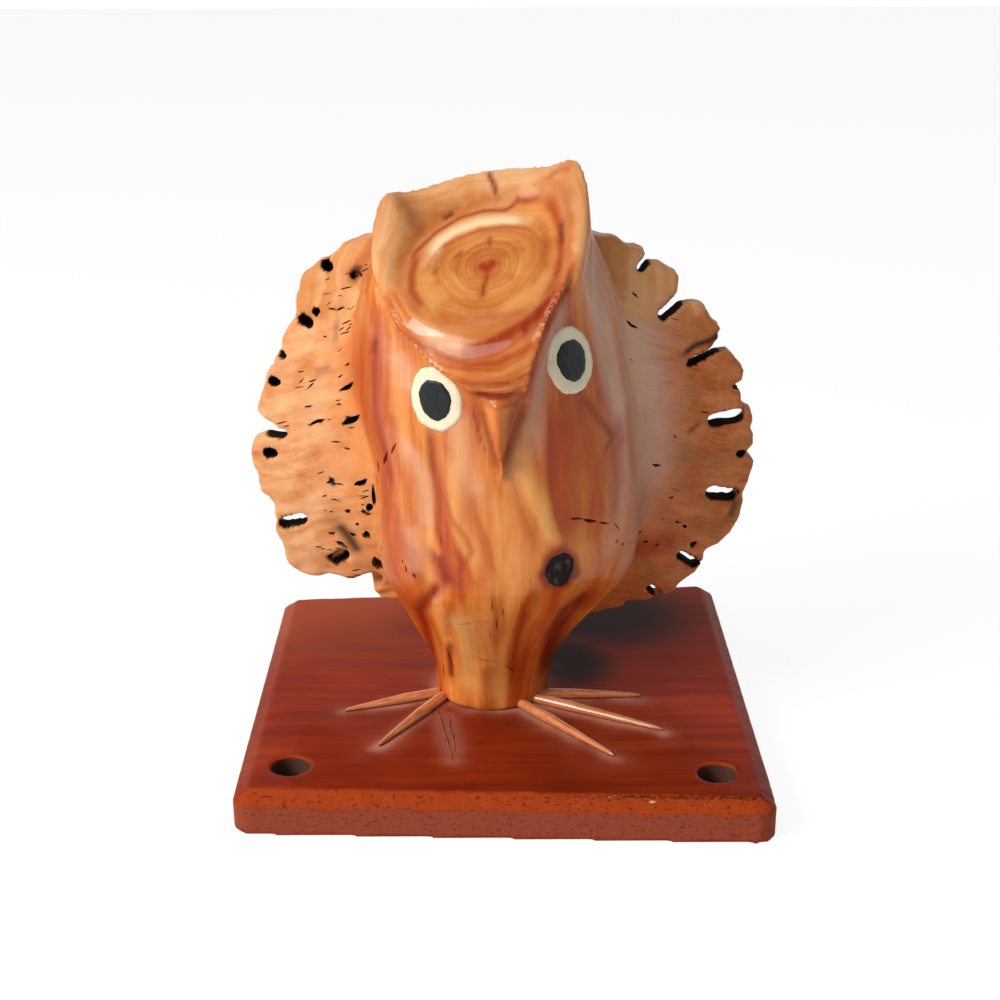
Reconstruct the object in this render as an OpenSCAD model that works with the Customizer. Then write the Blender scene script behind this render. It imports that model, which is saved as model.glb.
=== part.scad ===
// An owl carved from a branch that grows out of a burl, on a lacquered wooden plaque
// with two pen sockets. The branch is the body and the head, the flared burl the wings.
// The owl faces -Y, and the origin is in the middle of the plaque's underside.

/* [Plaque] */
// Width of the plaque, left to right
board_w = 148; // [140:1:170]
// Depth of the plaque in its middle, front to back
board_d = 148; // [140:1:170]
// Thickness of the plaque
board_t = 12; // [10:0.5:18]
// Radius of the plaque's upright corners
corner_r = 6; // [5.5:0.5:12]
// Width of the bevel round the top edge
bevel_w = 4.4; // [1:0.2:5]
// Height of the bevel round the top edge
bevel_h = 3; // [1:0.2:5]
// How far each end of the hand-sawn back edge is out of square
skew_back = 5; // [0:0.5:6]
// How far each end of the hand-sawn front edge is out of square
skew_front = 3; // [0:0.5:5]

/* [Pen sockets] */
// Bore of the two pen sockets
socket_d = 11; // [8:0.5:14]
// Depth of the pen sockets
socket_depth = 9; // [5:0.5:9]
// From the middle of the plaque to a socket, left to right
socket_x = 59.3; // [50:0.1:62]
// From the front edge to a socket
socket_in = 17.5; // [14:0.5:26]

/* [Foot and belly] */
// Width of the foot where it stands on the plaque
foot_w = 33.5; // [28:0.5:38]
// Depth of the foot where it stands on the plaque
foot_d = 36; // [30:0.5:40]
// Place of the foot's middle, left to right
foot_x = -3; // [-6:0.5:3]
// Height at which the leg spreads into the belly
leg_h = 23; // [18:1:28]
// Width of the belly at its widest
belly_w = 78; // [68:1:84]
// Height of the widest level above the plaque
belly_h = 60; // [54:1:66]
// How far the belly stands forward of the trunk's middle
belly_front = 35; // [30:0.5:40]
// How far the back stands behind the trunk's middle
back_d = 40; // [34:0.5:44]
// How far the left flank swells out into its wing
flank_left = 7; // [0:0.5:9]
// How far the right flank swells out into its wing
flank_right = 5; // [0:0.5:8]

/* [Head] */
// Width of the head under its cut face
head_w = 61.5; // [54:0.5:66]
// How far the forehead stands forward of the trunk's middle
head_front = 32; // [28:0.5:36]
// How far the back of the head stands behind the trunk's middle
head_back = 20; // [16:0.5:26]
// Place of the head's middle, left to right
head_x = -5.5; // [-10:0.5:2]
// Height of the cut face's middle above the plaque
head_h = 137; // [128:1:146]
// Slope of the cut face, down towards the front
cut_slope = 35; // [25:1:40]
// Sideways tilt of the head, its left ear lower
head_roll = 10; // [0:1:14]
// How far the ears rise over the rim of the cut face
ear_h = 6.5; // [2:0.5:8]
// How far the crest between the ears dips below the rim's plane
crest_dip = 1.5; // [0:0.5:5]
// How deep the ringed face lies below the crest and the ears
dish_depth = 4.5; // [1:0.5:6]
// Radius of the rolled lip in front of the ringed face
lip_r = 6; // [2:0.5:8]
// Radius of the rounded edge of the crest and the ears
rim_r = 1.5; // [1:0.1:3]
// How far the brow and the forehead stand out over the eyes
brow_t = 6.5; // [2:0.5:8]
// Length of the beak
beak_l = 20; // [16:1:24]
// Width of the beak
beak_w = 12.5; // [10:0.5:16]
// How far the beak stands out of the face
beak_t = 7; // [5:0.5:10]

/* [Painted eyes] */
// Width of the cream ring
eye_w = 16.4; // [12:0.2:18]
// Height of the cream ring
eye_h = 18.4; // [14:0.2:20]
// Width of the black pupil
pupil_w = 10; // [7:0.2:11]
// Height of the black pupil
pupil_h = 11.6; // [8:0.2:13]
// Thickness of one coat of paint
paint_t = 0.3; // [0.2:0.05:0.6]
// Height of the left eye's middle above the plaque
eye_left_h = 99.5; // [94:0.5:104]
// Height of the right eye's middle above the plaque
eye_right_h = 108.5; // [104:0.5:112]
// How far round the head the left eye looks
eye_left_turn = 29; // [22:1:36]
// How far round the head the right eye looks
eye_right_turn = 41; // [36:1:50]

/* [Burl wings] */
// Height of the fan's middle above the plaque
fan_h = 78; // [74:0.5:84]
// Size of the fan against the one in the photograph
fan_size = 1; // [0.9:0.01:1.1]
// Place of the wings' front at the rim, behind the trunk's middle
fan_sweep = 28; // [22:0.5:32]
// How far the wings' front would stand forward of the trunk's middle at the fan's middle
fan_root = 24; // [10:1:28]
// Thickness of the wings at the rim
rim_t = 8; // [5:0.5:12]
// Depth of the scallops between the lobes of the rim
scallop_d = 5; // [2:0.5:7]
// Depth of the blind bark pockets
pocket_d = 5; // [2:0.5:7]

/* [Toes] */
// Thickness of a toe at its root
toe_d = 3.2; // [2:0.1:4]
// Thickness of a toe at its tip
toe_tip_d = 1.4; // [0.8:0.1:2]
// Clearance between a toe's root and the foot
toe_gap = 0.15; // [0.05:0.05:0.3]

/* [Fixing screws] */
// Diameter of the screws' shanks
screw_d = 4; // [3:0.1:5]
// Diameter of the screws' heads
screw_head_d = 8; // [6:0.1:9]
// Length of the screws
screw_l = 35; // [25:1:40]
// Distance between the two screws
screw_pitch = 16; // [14:0.5:18]
// Clearance round the screws
screw_gap = 0.15; // [0.1:0.05:0.3]

/* [Hidden] */
$fn = 48;
eps = 0.01;                  // lets a cut break through a face
sides = 80;                  // points round the trunk
levels = 42;                 // rings up the trunk
face_density = 0.62;         // spacing of the points over the face, against the average
edge_angles = [30, 60, 90];  // steps round the rounded edge
face_shares = [0.93, 0.86, 0.79, 0.72, 0.66, 0.6, 0.4]; // rings inside the rounded edge
trunk_y = -3;                // the trunk's middle, front to back
ear_turn = 114;              // how far round from the front the ears stand
ear_spread = 20;             // angle over which an ear fades into the rim
crest_spread = 42;           // angle over which the crest dips
step_w = 0.16;               // width of the step round the ringed face, as a share of its reach

// The trunk's stations: height, middle, half width, reach forward, reach back.
leg_front = foot_d / 2;
stations = [
    [0, foot_x, foot_w / 2, leg_front, foot_d / 2 - 1],
    [leg_h * 0.5, foot_x + 0.6, foot_w / 2 + 2.4, leg_front + 0.5, foot_d / 2],
    [leg_h, foot_x + 1.6, foot_w / 2 + 8.5, leg_front + 5, foot_d / 2 + 7],
    [(leg_h + belly_h) / 2, foot_x + 4.5, belly_w / 2 - 2, belly_front - 1.5, back_d - 4],
    [belly_h, foot_x + 5.5, belly_w / 2, belly_front, back_d],
    [(belly_h + head_h) / 2, foot_x + 2, belly_w / 2 - 4.5, belly_front - 2, back_d - 4],
    [head_h - 20, head_x + 2, head_w / 2 + 1.5, head_front - 1, head_back + 4],
    [head_h, head_x, head_w / 2, head_front, head_back],
    [head_h + 30, head_x - 0.5, head_w / 2, head_front, head_back]];

// The brow's edge on each side of the face: height above the plaque, distance across.
brow_left = [[head_h - 35, -beak_w / 2 + 0.8], [head_h - 32.5, -8.6], [head_h - 28, -16.7],
    [head_h - 25, -20.7], [head_h - 20, -27.7], [head_h - 10, -34], [head_h, -42]];
brow_right = [[head_h - 36, beak_w / 2], [head_h - 26, 8.3], [head_h - 15, 13],
    [head_h - 8, 19], [head_h + 1, 24.5], [head_h + 10, 30]];
brow_foot = head_h - 40;     // where the forehead has sunk back into the face
brow_fade = 8;               // height over which it sinks
brow_rise = 12;              // distance below the lip over which it swells
beak_drop = 33;              // how far the beak's top lies below the head's middle
beak_root = 3;               // how deep the beak's point is rooted in the face
cut_back = 10;               // where the cut's plane is head_h high, behind the axis
soft_left = 8;               // width of the brow's rounded edge, left and right
soft_right = 8;

// The groove down the owl's side, left in the picture: height above the plaque, turn.
groove = [[10, -52], [24, -50], [36, -44], [52, -38], [70, -36], [88, -34]];
groove_d = 2.2;
groove_spread = 8;
groove_ends = [12, 20];      // height over which it fades, at its foot and at its top

// The flanks, which make the trunk run out smoothly into the wings.
flank_turn = 98;             // how far round from the front they swell most
flank_spread = 24;           // angle over which they fade
flank_low = [62, 34];        // height at which they begin, and over which they swell
flank_high = [8, 20];        // distance below the rim at which they end, and over which they fade

// Reach of the fan round its middle: angle from +X, radius.
fan_reach = [[-66, 66], [-54, 74], [-44, 78], [-24, 80.5], [-8, 78.5], [4, 75.5], [18, 73],
    [32, 69], [50, 67.8], [64, 64.5], [90, 63], [116, 67.6], [128, 70], [143, 73.7],
    [153, 69.5], [172, 72.2], [190, 76.8], [202, 75.2], [216, 81.5], [222, 76.5], [228, 66],
    [236, 66], [252, 56], [270, 52], [294, 66]];
// Scallops between the lobes: angle, depth against scallop_d, half width as an angle.
scallops = [[-34, 0.8, 2], [-17, 0.5, 1.6], [-7, 0.7, 1.4], [5.5, 0.9, 1.6], [9, 0.4, 1.2],
    [20.5, 1.6, 1.6], [36.5, 1.1, 2], [49, 0.6, 1.4], [149.5, 0.4, 2], [159.5, 0.7, 1.1],
    [165, 0.25, 1.5], [180.5, 1.6, 2.4], [199.5, 0.4, 1.6], [223.5, 0.8, 2.2], [229, 0.9, 2.4],
    [305, 0.6, 2.4]];
// Slots and bark pockets of the wings: angle, radius of the middle, length, width, depth.
through = 60;
slots = [
    [50, 64.5, 8, 2.2, through], [36.8, 62.5, 11, 3, through], [20.4, 64, 13, 2, through],
    [9.2, 73, 6, 1.8, through], [2, 67.5, 12, 4.2, through], [-7.9, 75, 6, 2, through],
    [-18.2, 71, 11.5, 4.2, through], [-33.3, 70.5, 2.4, 2.3, through],
    [-37.3, 73, 10, 3, through], [-49, 72.5, 7, 2.2, through],
    [181.5, 68.5, 9.5, 2.6, through], [136, 69.5, 4.5, 2.4, pocket_d],
    [132, 62, 4.5, 3, pocket_d], [150, 65.5, 5, 2.8, pocket_d], [161, 68, 4, 2.2, pocket_d],
    [168.3, 68.5, 4, 2.4, pocket_d], [187, 70, 5, 2.6, pocket_d],
    [205.6, 70.6, 10, 3.4, through], [219.4, 64.4, 8, 4, pocket_d],
    [231, 62, 6.5, 4.6, pocket_d]];

// Toes: root and tip on the plaque, as places across and forward.
toe_left_outer_run = [[-19, -10.5], [-46.6, -21]];
toe_left_inner_run = [[-17.5, -12.5], [-35.5, -43.3]];
toe_right_back_run = [[10, -11.6], [41.7, -12]];
toe_right_middle_run = [[8, -13.5], [46.2, -34.3]];
toe_right_front_run = [[4.5, -16.5], [31.2, -50]];

// ---- shared functions ----

function ease(t) = let (c = min(1, max(0, t))) c * c * (3 - 2 * c);
function bump(distance, spread) = exp(-pow(distance / spread, 2));
function mix(a, b, t) = a + (b - a) * t;

// The station below a height, then a smooth curve through one column of the stations.
function below(z, i = 0) = i >= len(stations) - 2 || z < stations[i + 1][0] ? i : below(z, i + 1);
function rise(i, k) = let (a = max(0, i - 1), b = min(len(stations) - 1, i + 1))
    (stations[b][k] - stations[a][k]) / (stations[b][0] - stations[a][0]);
function column(z, k) = let (
        i = below(z), span = stations[i + 1][0] - stations[i][0],
        t = min(1, max(0, (z - stations[i][0]) / span)))
    mix(stations[i][k], stations[i + 1][k], t * t * (3 - 2 * t))
    + span * t * (1 - t) * ((1 - t) * rise(i, k) - t * rise(i + 1, k));

// How far the carver left the forehead and the brow standing at a place of the face.
function forehead(x, z, below_rim) =
    brow_t * mix(0.25, 1, ease(below_rim / brow_rise)) * ease((x - lookup(z, brow_left)) / soft_left + 0.5)
    * ease((lookup(z, brow_right) - x) / soft_right + 0.5) * ease((z - brow_foot) / brow_fade);
function flute(turn, z) =
    groove_d * bump(turn - lookup(z, groove), groove_spread)
    * ease((z - groove[0][0]) / groove_ends[0]) * ease((groove[5][0] - z) / groove_ends[1]);

function flank(turn, z) =
    (turn < 0 ? flank_left : flank_right) * bump(abs(turn) - flank_turn, flank_spread)
    * ease((z - flank_low[0]) / flank_low[1]) * ease((rim(turn) - z - flank_high[0]) / flank_high[1]);

// A point of the trunk: angle from the front, towards the owl's right of the picture; height.
function skin(turn, z, over = 0) = let (
        w = column(z, 2), d = cos(turn) > 0 ? column(z, 3) : column(z, 4),
        x = column(z, 1) + w * sin(turn),
        out = over - flute(turn, z) + flank(turn, z)
            + (cos(turn) > 0 ? forehead(x, z, rim(turn) - z) * cos(turn) : 0))
    [x + out * sin(turn), trunk_y - (d + out) * cos(turn), z + board_t];

// The plane of the slanted cut, and the rim round it with the two ears.
function cut_plane(x, y) = head_h + tan(cut_slope) * (y + cut_back) + tan(head_roll) * (x - head_x);
function ears(turn) = ear_h * bump(abs(turn) - ear_turn, ear_spread);
function rim(turn) = let (
        x = head_x + head_w / 2 * sin(turn),
        y = trunk_y - (cos(turn) > 0 ? head_front : head_back) * cos(turn))
    cut_plane(x, y) + ears(turn) - crest_dip * bump(180 - abs(turn), crest_spread);

// The places of the points round the trunk, closer together over the face, and up it.
function turn_of(i) = let (u = 2 * i / sides - 1)
    180 * u * mix(face_density, 1, u * u);
function share_up(j) = let (v = j / levels) v * mix(1.35, 1, v);

// A point of the top: share of the way out to the rim, and how far it drops below the rim's plane.
// The ringed face lies in a step that fades out towards the lip, and the ears rise round it.
function front_share(turn) = ease((cos(turn) + 0.1) / 0.8);
function face_edge(turn) = mix(0.62, 0.9, front_share(turn));
function roll(turn) = mix(rim_r, lip_r, front_share(turn));
function top_point(turn, share, drop = 0) = let (
        edge = skin(turn, rim(turn)), middle = [head_x, trunk_y - lip_r],
        x = mix(middle[0], edge[0], share), y = mix(middle[1], edge[1], share),
        deep = dish_depth * min(1, max(0, (y + head_front) / (head_front + head_back / 2))),
        inside = ease((face_edge(turn) + step_w - share) / step_w))
    [x, y, board_t + cut_plane(x, y) - drop - deep * inside
        + (ears(turn) - crest_dip * bump(180 - abs(turn), crest_spread)) * ease((share - 0.55) / 0.45)];

// A point of the rounded edge: angle from upright to level.
function edge_point(turn, angle) = let (reach = norm(skin(turn, rim(turn)) - top_point(turn, 0)))
    top_point(turn, 1 - roll(turn) * (1 - cos(angle)) / reach, roll(turn) * (1 - sin(angle)));

// Radius of the fan at an angle, with its lobes and scallops.
function fan_radius(angle) = let (
        a = angle > 294 ? angle - 360 : angle,
        lobes = lookup(a, fan_reach) + 0.5 * sin(a * 37) + 0.35 * sin(a * 61 + 40))
    fan_size * (lobes - scallop_d * max([for (s = scallops)
        s[1] * bump(min(abs(a - s[0]), abs(a - s[0] + 360)), s[2])]));

// Front and back of the wings at a distance from the fan's middle.
fan_r = 90;                  // the dish of the wings runs out past their longest lobe
fan_thin = 68;               // distance from the fan's middle at which the wings are down to rim_t
function wing_front(r) = trunk_y + mix(-fan_root, fan_sweep, r / fan_r);
function wing_back(r) = mix(trunk_y + back_d - 2, wing_front(r) + rim_t, ease(r / fan_thin));

// ---- pieces ----

// A slab with rounded corners, a bevelled top edge and hand-sawn ends.
module plaque() {
    hull()
        for (sx = [-1, 1], sy = [-1, 1]) {
            skew = sx * (sy > 0 ? skew_back : -skew_front);
            translate([sx * (board_w / 2 - corner_r), sy * (board_d / 2 - corner_r) + skew, 0]) {
                cylinder(r = corner_r, h = board_t - bevel_h, $fn = 32);
                cylinder(r = corner_r - bevel_w, h = board_t, $fn = 32);
            }
        }
}

// The front edge's place at a distance across.
function front_edge(x) = -board_d / 2 - skew_front * x / (board_w / 2 - corner_r);

module at_sockets()
    for (sx = [-1, 1])
        translate([sx * socket_x, front_edge(sx * socket_x) + socket_in, board_t - socket_depth])
            children();

module at_screws()
    for (sy = [-1, 1])
        translate([foot_x, trunk_y + sy * screw_pitch / 2, 0]) children();

// A countersunk wood screw, its head flush with the underside, and the hole that it fills.
module screw(gap) {
    sink = (screw_head_d - screw_d) / 2;
    cylinder(d1 = screw_head_d + 2 * gap, d2 = screw_d + 2 * gap, h = sink);
    cylinder(d = screw_d + 2 * gap, h = screw_l + gap);
}

module base_board() color("#7a3020")
    difference() {
        plaque();
        at_sockets() cylinder(d = socket_d, h = socket_depth + eps);
        at_screws() screw(screw_gap);
    }

// The trunk from its foot to its rim, over the rounded edge and in to the middle of the face.
module trunk() {
    turns = [for (i = [0 : sides - 1]) turn_of(i)];
    outer = [for (j = [0 : levels], t = turns) skin(t, (rim(t) - roll(t)) * share_up(j))];
    edge = [for (a = edge_angles, t = turns) edge_point(t, a)];
    inner = [for (s = face_shares, t = turns)
        top_point(t, s * (1 - roll(t) / norm(skin(t, rim(t)) - top_point(t, 0))))];
    rings = levels + len(edge_angles) + len(face_shares);
    points = concat(outer, edge, inner, [top_point(0, 0)]);
    walls = [for (j = [0 : rings - 1], i = [0 : sides - 1])
        let (a = j * sides + i, b = j * sides + (i + 1) % sides)
            [a, a + sides, b + sides, b]];
    top = [for (i = [0 : sides - 1])
        [rings * sides + i, len(points) - 1, rings * sides + (i + 1) % sides]];
    polyhedron(points, concat(walls, top, [[for (i = [0 : sides - 1]) i]]));
}

// The flared burl: the outline of the fan cut out of a shallow dish.
module burl() {
    step = 2;
    rings = 8;
    translate([0, 0, board_t + fan_h])
        intersection() {
            translate([0, trunk_y + back_d, 0]) rotate([90, 0, 0])
                linear_extrude(back_d + 10)
                    polygon([for (a = [step / 4 : step : 360])
                        fan_radius(a) * [cos(a), sin(a)]]);
            rotate([-90, 0, 0])
                rotate_extrude($fn = 72)
                    polygon(concat(
                        [for (i = [0 : rings]) [fan_r * i / rings, wing_front(fan_r * i / rings)]],
                        [for (i = [rings : -1 : 0]) [fan_r * i / rings, wing_back(fan_r * i / rings)]]));
        }
}

// A slot that bark once filled: a long hole through a wing, or a pocket in its front.
module slot(s) {
    front = wing_front(s[1] * fan_size) - 1;
    half = max(0.1, s[2] - s[3]) / 2;
    translate([0, front + s[4] + 1, board_t + fan_h]) rotate([90, 0, 0]) rotate(s[0])
        translate([s[1] * fan_size, 0])
            hull()
                for (side = [-1, 1])
                    translate([side * half, 0]) cylinder(d = s[3], h = s[4] + 10, $fn = 16);
}

// The beak: a wedge that goes on from the forehead, wide above and pointed below.
module beak() {
    top = board_t + head_h - beak_drop;
    face = trunk_y - column(brow_foot, 3);
    round = beak_w / 10;
    hull() {
        for (side = [-1, 1])
            translate([side * (beak_w / 2 - round), face - round, top]) sphere(r = round, $fn = 16);
        translate([-round, face - beak_t + round, top - beak_l * 0.2]) sphere(r = round, $fn = 16);
        translate([-round / 2, face - beak_t + round, top - beak_l + round])
            sphere(r = round * 0.6, $fn = 16);
        translate([0, face + beak_root, top - beak_l * 0.85]) sphere(r = round * 0.8, $fn = 16);
    }
}

module owl_figure() color("#b8652c")
    difference() {
        union() {
            trunk();
            burl();
            beak();
        }
        for (s = slots) slot(s);
        at_screws() screw(screw_gap);
    }

// A tapered sliver of wood, glued down: flat underneath and coped to the foot.
module toe(run) color("#c06a30") {
    way = run[1] - run[0];
    intersection() {
        difference() {
            translate([run[0][0], run[0][1], board_t + toe_d * 0.4])
                rotate([0, 90, atan2(way[1], way[0])])
                    cylinder(d1 = toe_d, d2 = toe_tip_d, h = norm(way));
            translate([foot_x, trunk_y - 0.5, board_t - 1])
                scale([foot_w / 2 + toe_gap + 0.8, foot_d / 2 + toe_gap + 0.8, 1])
                    cylinder(r = 1, h = toe_d + 2);
        }
        translate([-board_w, -board_d, board_t]) cube([2 * board_w, 2 * board_d, toe_d + 1]);
    }
}
module toe_left_outer() toe(toe_left_outer_run);
module toe_left_inner() toe(toe_left_inner_run);
module toe_right_back() toe(toe_right_back_run);
module toe_right_middle() toe(toe_right_middle_run);
module toe_right_front() toe(toe_right_front_run);

// A coat of paint that follows the trunk between two distances from its skin.
// It is an oval ring with the size w by h round a hole; a hole of 0 makes it a full oval.
module paint(turn, height, w, h, hole, from, to) {
    around = 28;
    across = 3;
    reach = column(height, 2);
    function spot(share, a, over) =
        skin(turn + atan(w / 2 * share * cos(a) / reach), height + h / 2 * share * sin(a), over);
    shares = [for (i = [0 : across]) mix(hole, 1, i / across)];
    under = [for (s = shares, i = [0 : around - 1]) spot(s, 360 * i / around, from)];
    outer = [for (s = shares, i = [0 : around - 1]) spot(s, 360 * i / around, to)];
    n = len(under);
    faces = [for (j = [0 : across - 1], i = [0 : around - 1])
        let (a = j * around + i, b = j * around + (i + 1) % around)
            each [[a, a + around, b + around, b],
                [n + a, n + b, n + b + around, n + a + around]]];
    edges = [for (i = [0 : around - 1]) let (b = (i + 1) % around, last = across * around)
        each [[i, b, n + b, n + i], [last + i, n + last + i, n + last + b, last + b]]];
    polyhedron(concat(under, outer), concat(faces, edges));
}

module eye_white(turn, height) color("#efe2bd")
    paint(turn, height, eye_w, eye_h, 0.02, 0.05, 0.05 + paint_t);
module pupil(turn, height) color("#23282b")
    paint(turn, height, pupil_w, pupil_h, 0.02, 0.1 + paint_t, 0.1 + 2 * paint_t);
module eye_white_left() eye_white(-eye_left_turn, eye_left_h);
module eye_white_right() eye_white(eye_right_turn, eye_right_h);
module pupil_left() pupil(-eye_left_turn, eye_left_h);
module pupil_right() pupil(eye_right_turn, eye_right_h);

module fixing_screws() color("#b9a15a")
    at_screws() screw(0);

base_board();
owl_figure();
toe_left_outer();
toe_left_inner();
toe_right_back();
toe_right_middle();
toe_right_front();
eye_white_left();
eye_white_right();
pupil_left();
pupil_right();
fixing_screws();
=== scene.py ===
# A carved owl on a lacquered plaque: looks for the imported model, in metres, Z up.
# Marks on the wood are given in millimetres from the plaque's underside, as the CAD source is.
import itertools
import math
import bmesh
import bpy
import numpy as np
from mathutils import Matrix, Vector
from mathutils.bvhtree import BVHTree


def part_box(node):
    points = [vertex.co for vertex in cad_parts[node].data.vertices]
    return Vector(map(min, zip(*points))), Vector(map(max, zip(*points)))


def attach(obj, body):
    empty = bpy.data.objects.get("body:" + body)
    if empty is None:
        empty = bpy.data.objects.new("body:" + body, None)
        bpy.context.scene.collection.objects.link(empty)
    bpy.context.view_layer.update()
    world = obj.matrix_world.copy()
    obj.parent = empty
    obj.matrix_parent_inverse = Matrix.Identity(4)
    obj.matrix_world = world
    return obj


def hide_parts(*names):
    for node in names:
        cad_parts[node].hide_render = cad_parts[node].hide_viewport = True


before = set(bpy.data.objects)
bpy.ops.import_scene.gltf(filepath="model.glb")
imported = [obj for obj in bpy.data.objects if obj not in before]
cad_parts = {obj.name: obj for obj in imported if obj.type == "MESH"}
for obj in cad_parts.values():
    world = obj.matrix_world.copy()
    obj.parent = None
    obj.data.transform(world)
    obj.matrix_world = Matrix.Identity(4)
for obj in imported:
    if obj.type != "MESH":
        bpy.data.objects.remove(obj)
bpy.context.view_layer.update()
mm = 0.001
weldWithin = 0.00001  # in metres
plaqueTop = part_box("base_board")[1].z / mm

# The photograph's points, in its 1000 x 1000 frame.

imagePoints = {
    "plaqueLeft": (229.8, 803), "plaqueRight": (776.8, 807.3), "rightEarTip": (572.5, 161.5),
    "plaqueBottom": (755.7, 842.6), "leftEarTip": (385.4, 194.9), "leftEye": (436, 400),
    "rightEye": (569, 361), "beakTip": (501, 475), "pith": (488, 267), "knot": (560, 570),
    "leftSocket": (293, 766.6), "rightSocket": (719.6, 771), "outerLeftToe": (343.4, 707),
    "innerLeftToe": (376, 744), "backRightToe": (641, 695), "middleRightToe": (661.5, 728),
    "frontRightToe": (616, 752), "plaqueBackLeft": (285.7, 607.5),
    "plaqueBackRight": (710.6, 593.9), "leftWing": (251.4, 451.1),
}
imageSize = (1000, 1000)

cameraSet = {"place": (-3.25, -488.9, 246.7), "turn": -0.34, "tilt": 19.76, "roll": -0.14,
             "lens": 63.0, "sensor": 36.0, "clip": (0.01, 20)}


def makeCamera(c):
    data = bpy.data.cameras.new("camera")
    data.lens, data.sensor_width, data.sensor_fit = c["lens"], c["sensor"], "AUTO"
    data.clip_start, data.clip_end = c["clip"]
    camera = bpy.data.objects.new("camera", data)
    bpy.context.scene.collection.objects.link(camera)
    turn = [Matrix.Rotation(math.radians(a), 4, axis) for a, axis in
            ((c["turn"], "Z"), (90 - c["tilt"], "X"), (c["roll"], "Z"))]
    camera.matrix_world = Matrix.Translation(Vector(c["place"]) * mm) @ turn[0] @ turn[1] @ turn[2]
    bpy.context.scene.camera = camera
    return camera


camera = makeCamera(cameraSet)
view = camera.matrix_world.copy()


def rayThrough(point):
    # the camera's ray through a point of the photograph
    w, h = imageSize
    far = max(w, h)
    x, y = imagePoints[point]
    d = camera.data
    way = Vector((x - w / 2 + d.shift_x * far, h / 2 - y + d.shift_y * far,
                  -far * d.lens / d.sensor_width))
    return view.translation, (view.to_3x3() @ way).normalized()


def showsAt(place):
    # where a place of the model shows in the photograph's frame
    w, h = imageSize
    far = max(w, h)
    d = camera.data
    q = view.inverted() @ Vector(place)
    scale = far * d.lens / d.sensor_width / -q.z
    return (q.x * scale + w / 2 - d.shift_x * far, h / 2 + d.shift_y * far - q.y * scale)


def placeOn(tree, point):
    # where the ray through a point meets a carrier, or the carrier's place nearest the ray
    start, way = rayThrough(point)
    place, normal = tree.ray_cast(start, way)[:2]
    if place is None:
        steps = [start + way * (0.3 + 0.002 * i) for i in range(200)]
        near = min((tree.find_nearest(s) for s in steps), key=lambda n: n[3])
        place, normal = near[0], near[1]
    return place, normal


print("camera and image points are ready")


class Wire:  # a node's output, which can be used in a sum
    def __init__(self, finish, socket):
        self.finish, self.socket = finish, socket

    def maths(self, operation, a, b=0.0):
        return self.finish.node("ShaderNodeMath", {"operation": operation}, {0: a, 1: b})

    def __add__(self, other): return self.maths("ADD", self, other)
    def __radd__(self, other): return self.maths("ADD", other, self)
    def __sub__(self, other): return self.maths("SUBTRACT", self, other)
    def __rsub__(self, other): return self.maths("SUBTRACT", other, self)
    def __mul__(self, other): return self.maths("MULTIPLY", self, other)
    def __rmul__(self, other): return self.maths("MULTIPLY", other, self)
    def __pow__(self, other): return self.maths("POWER", self, other)


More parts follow.
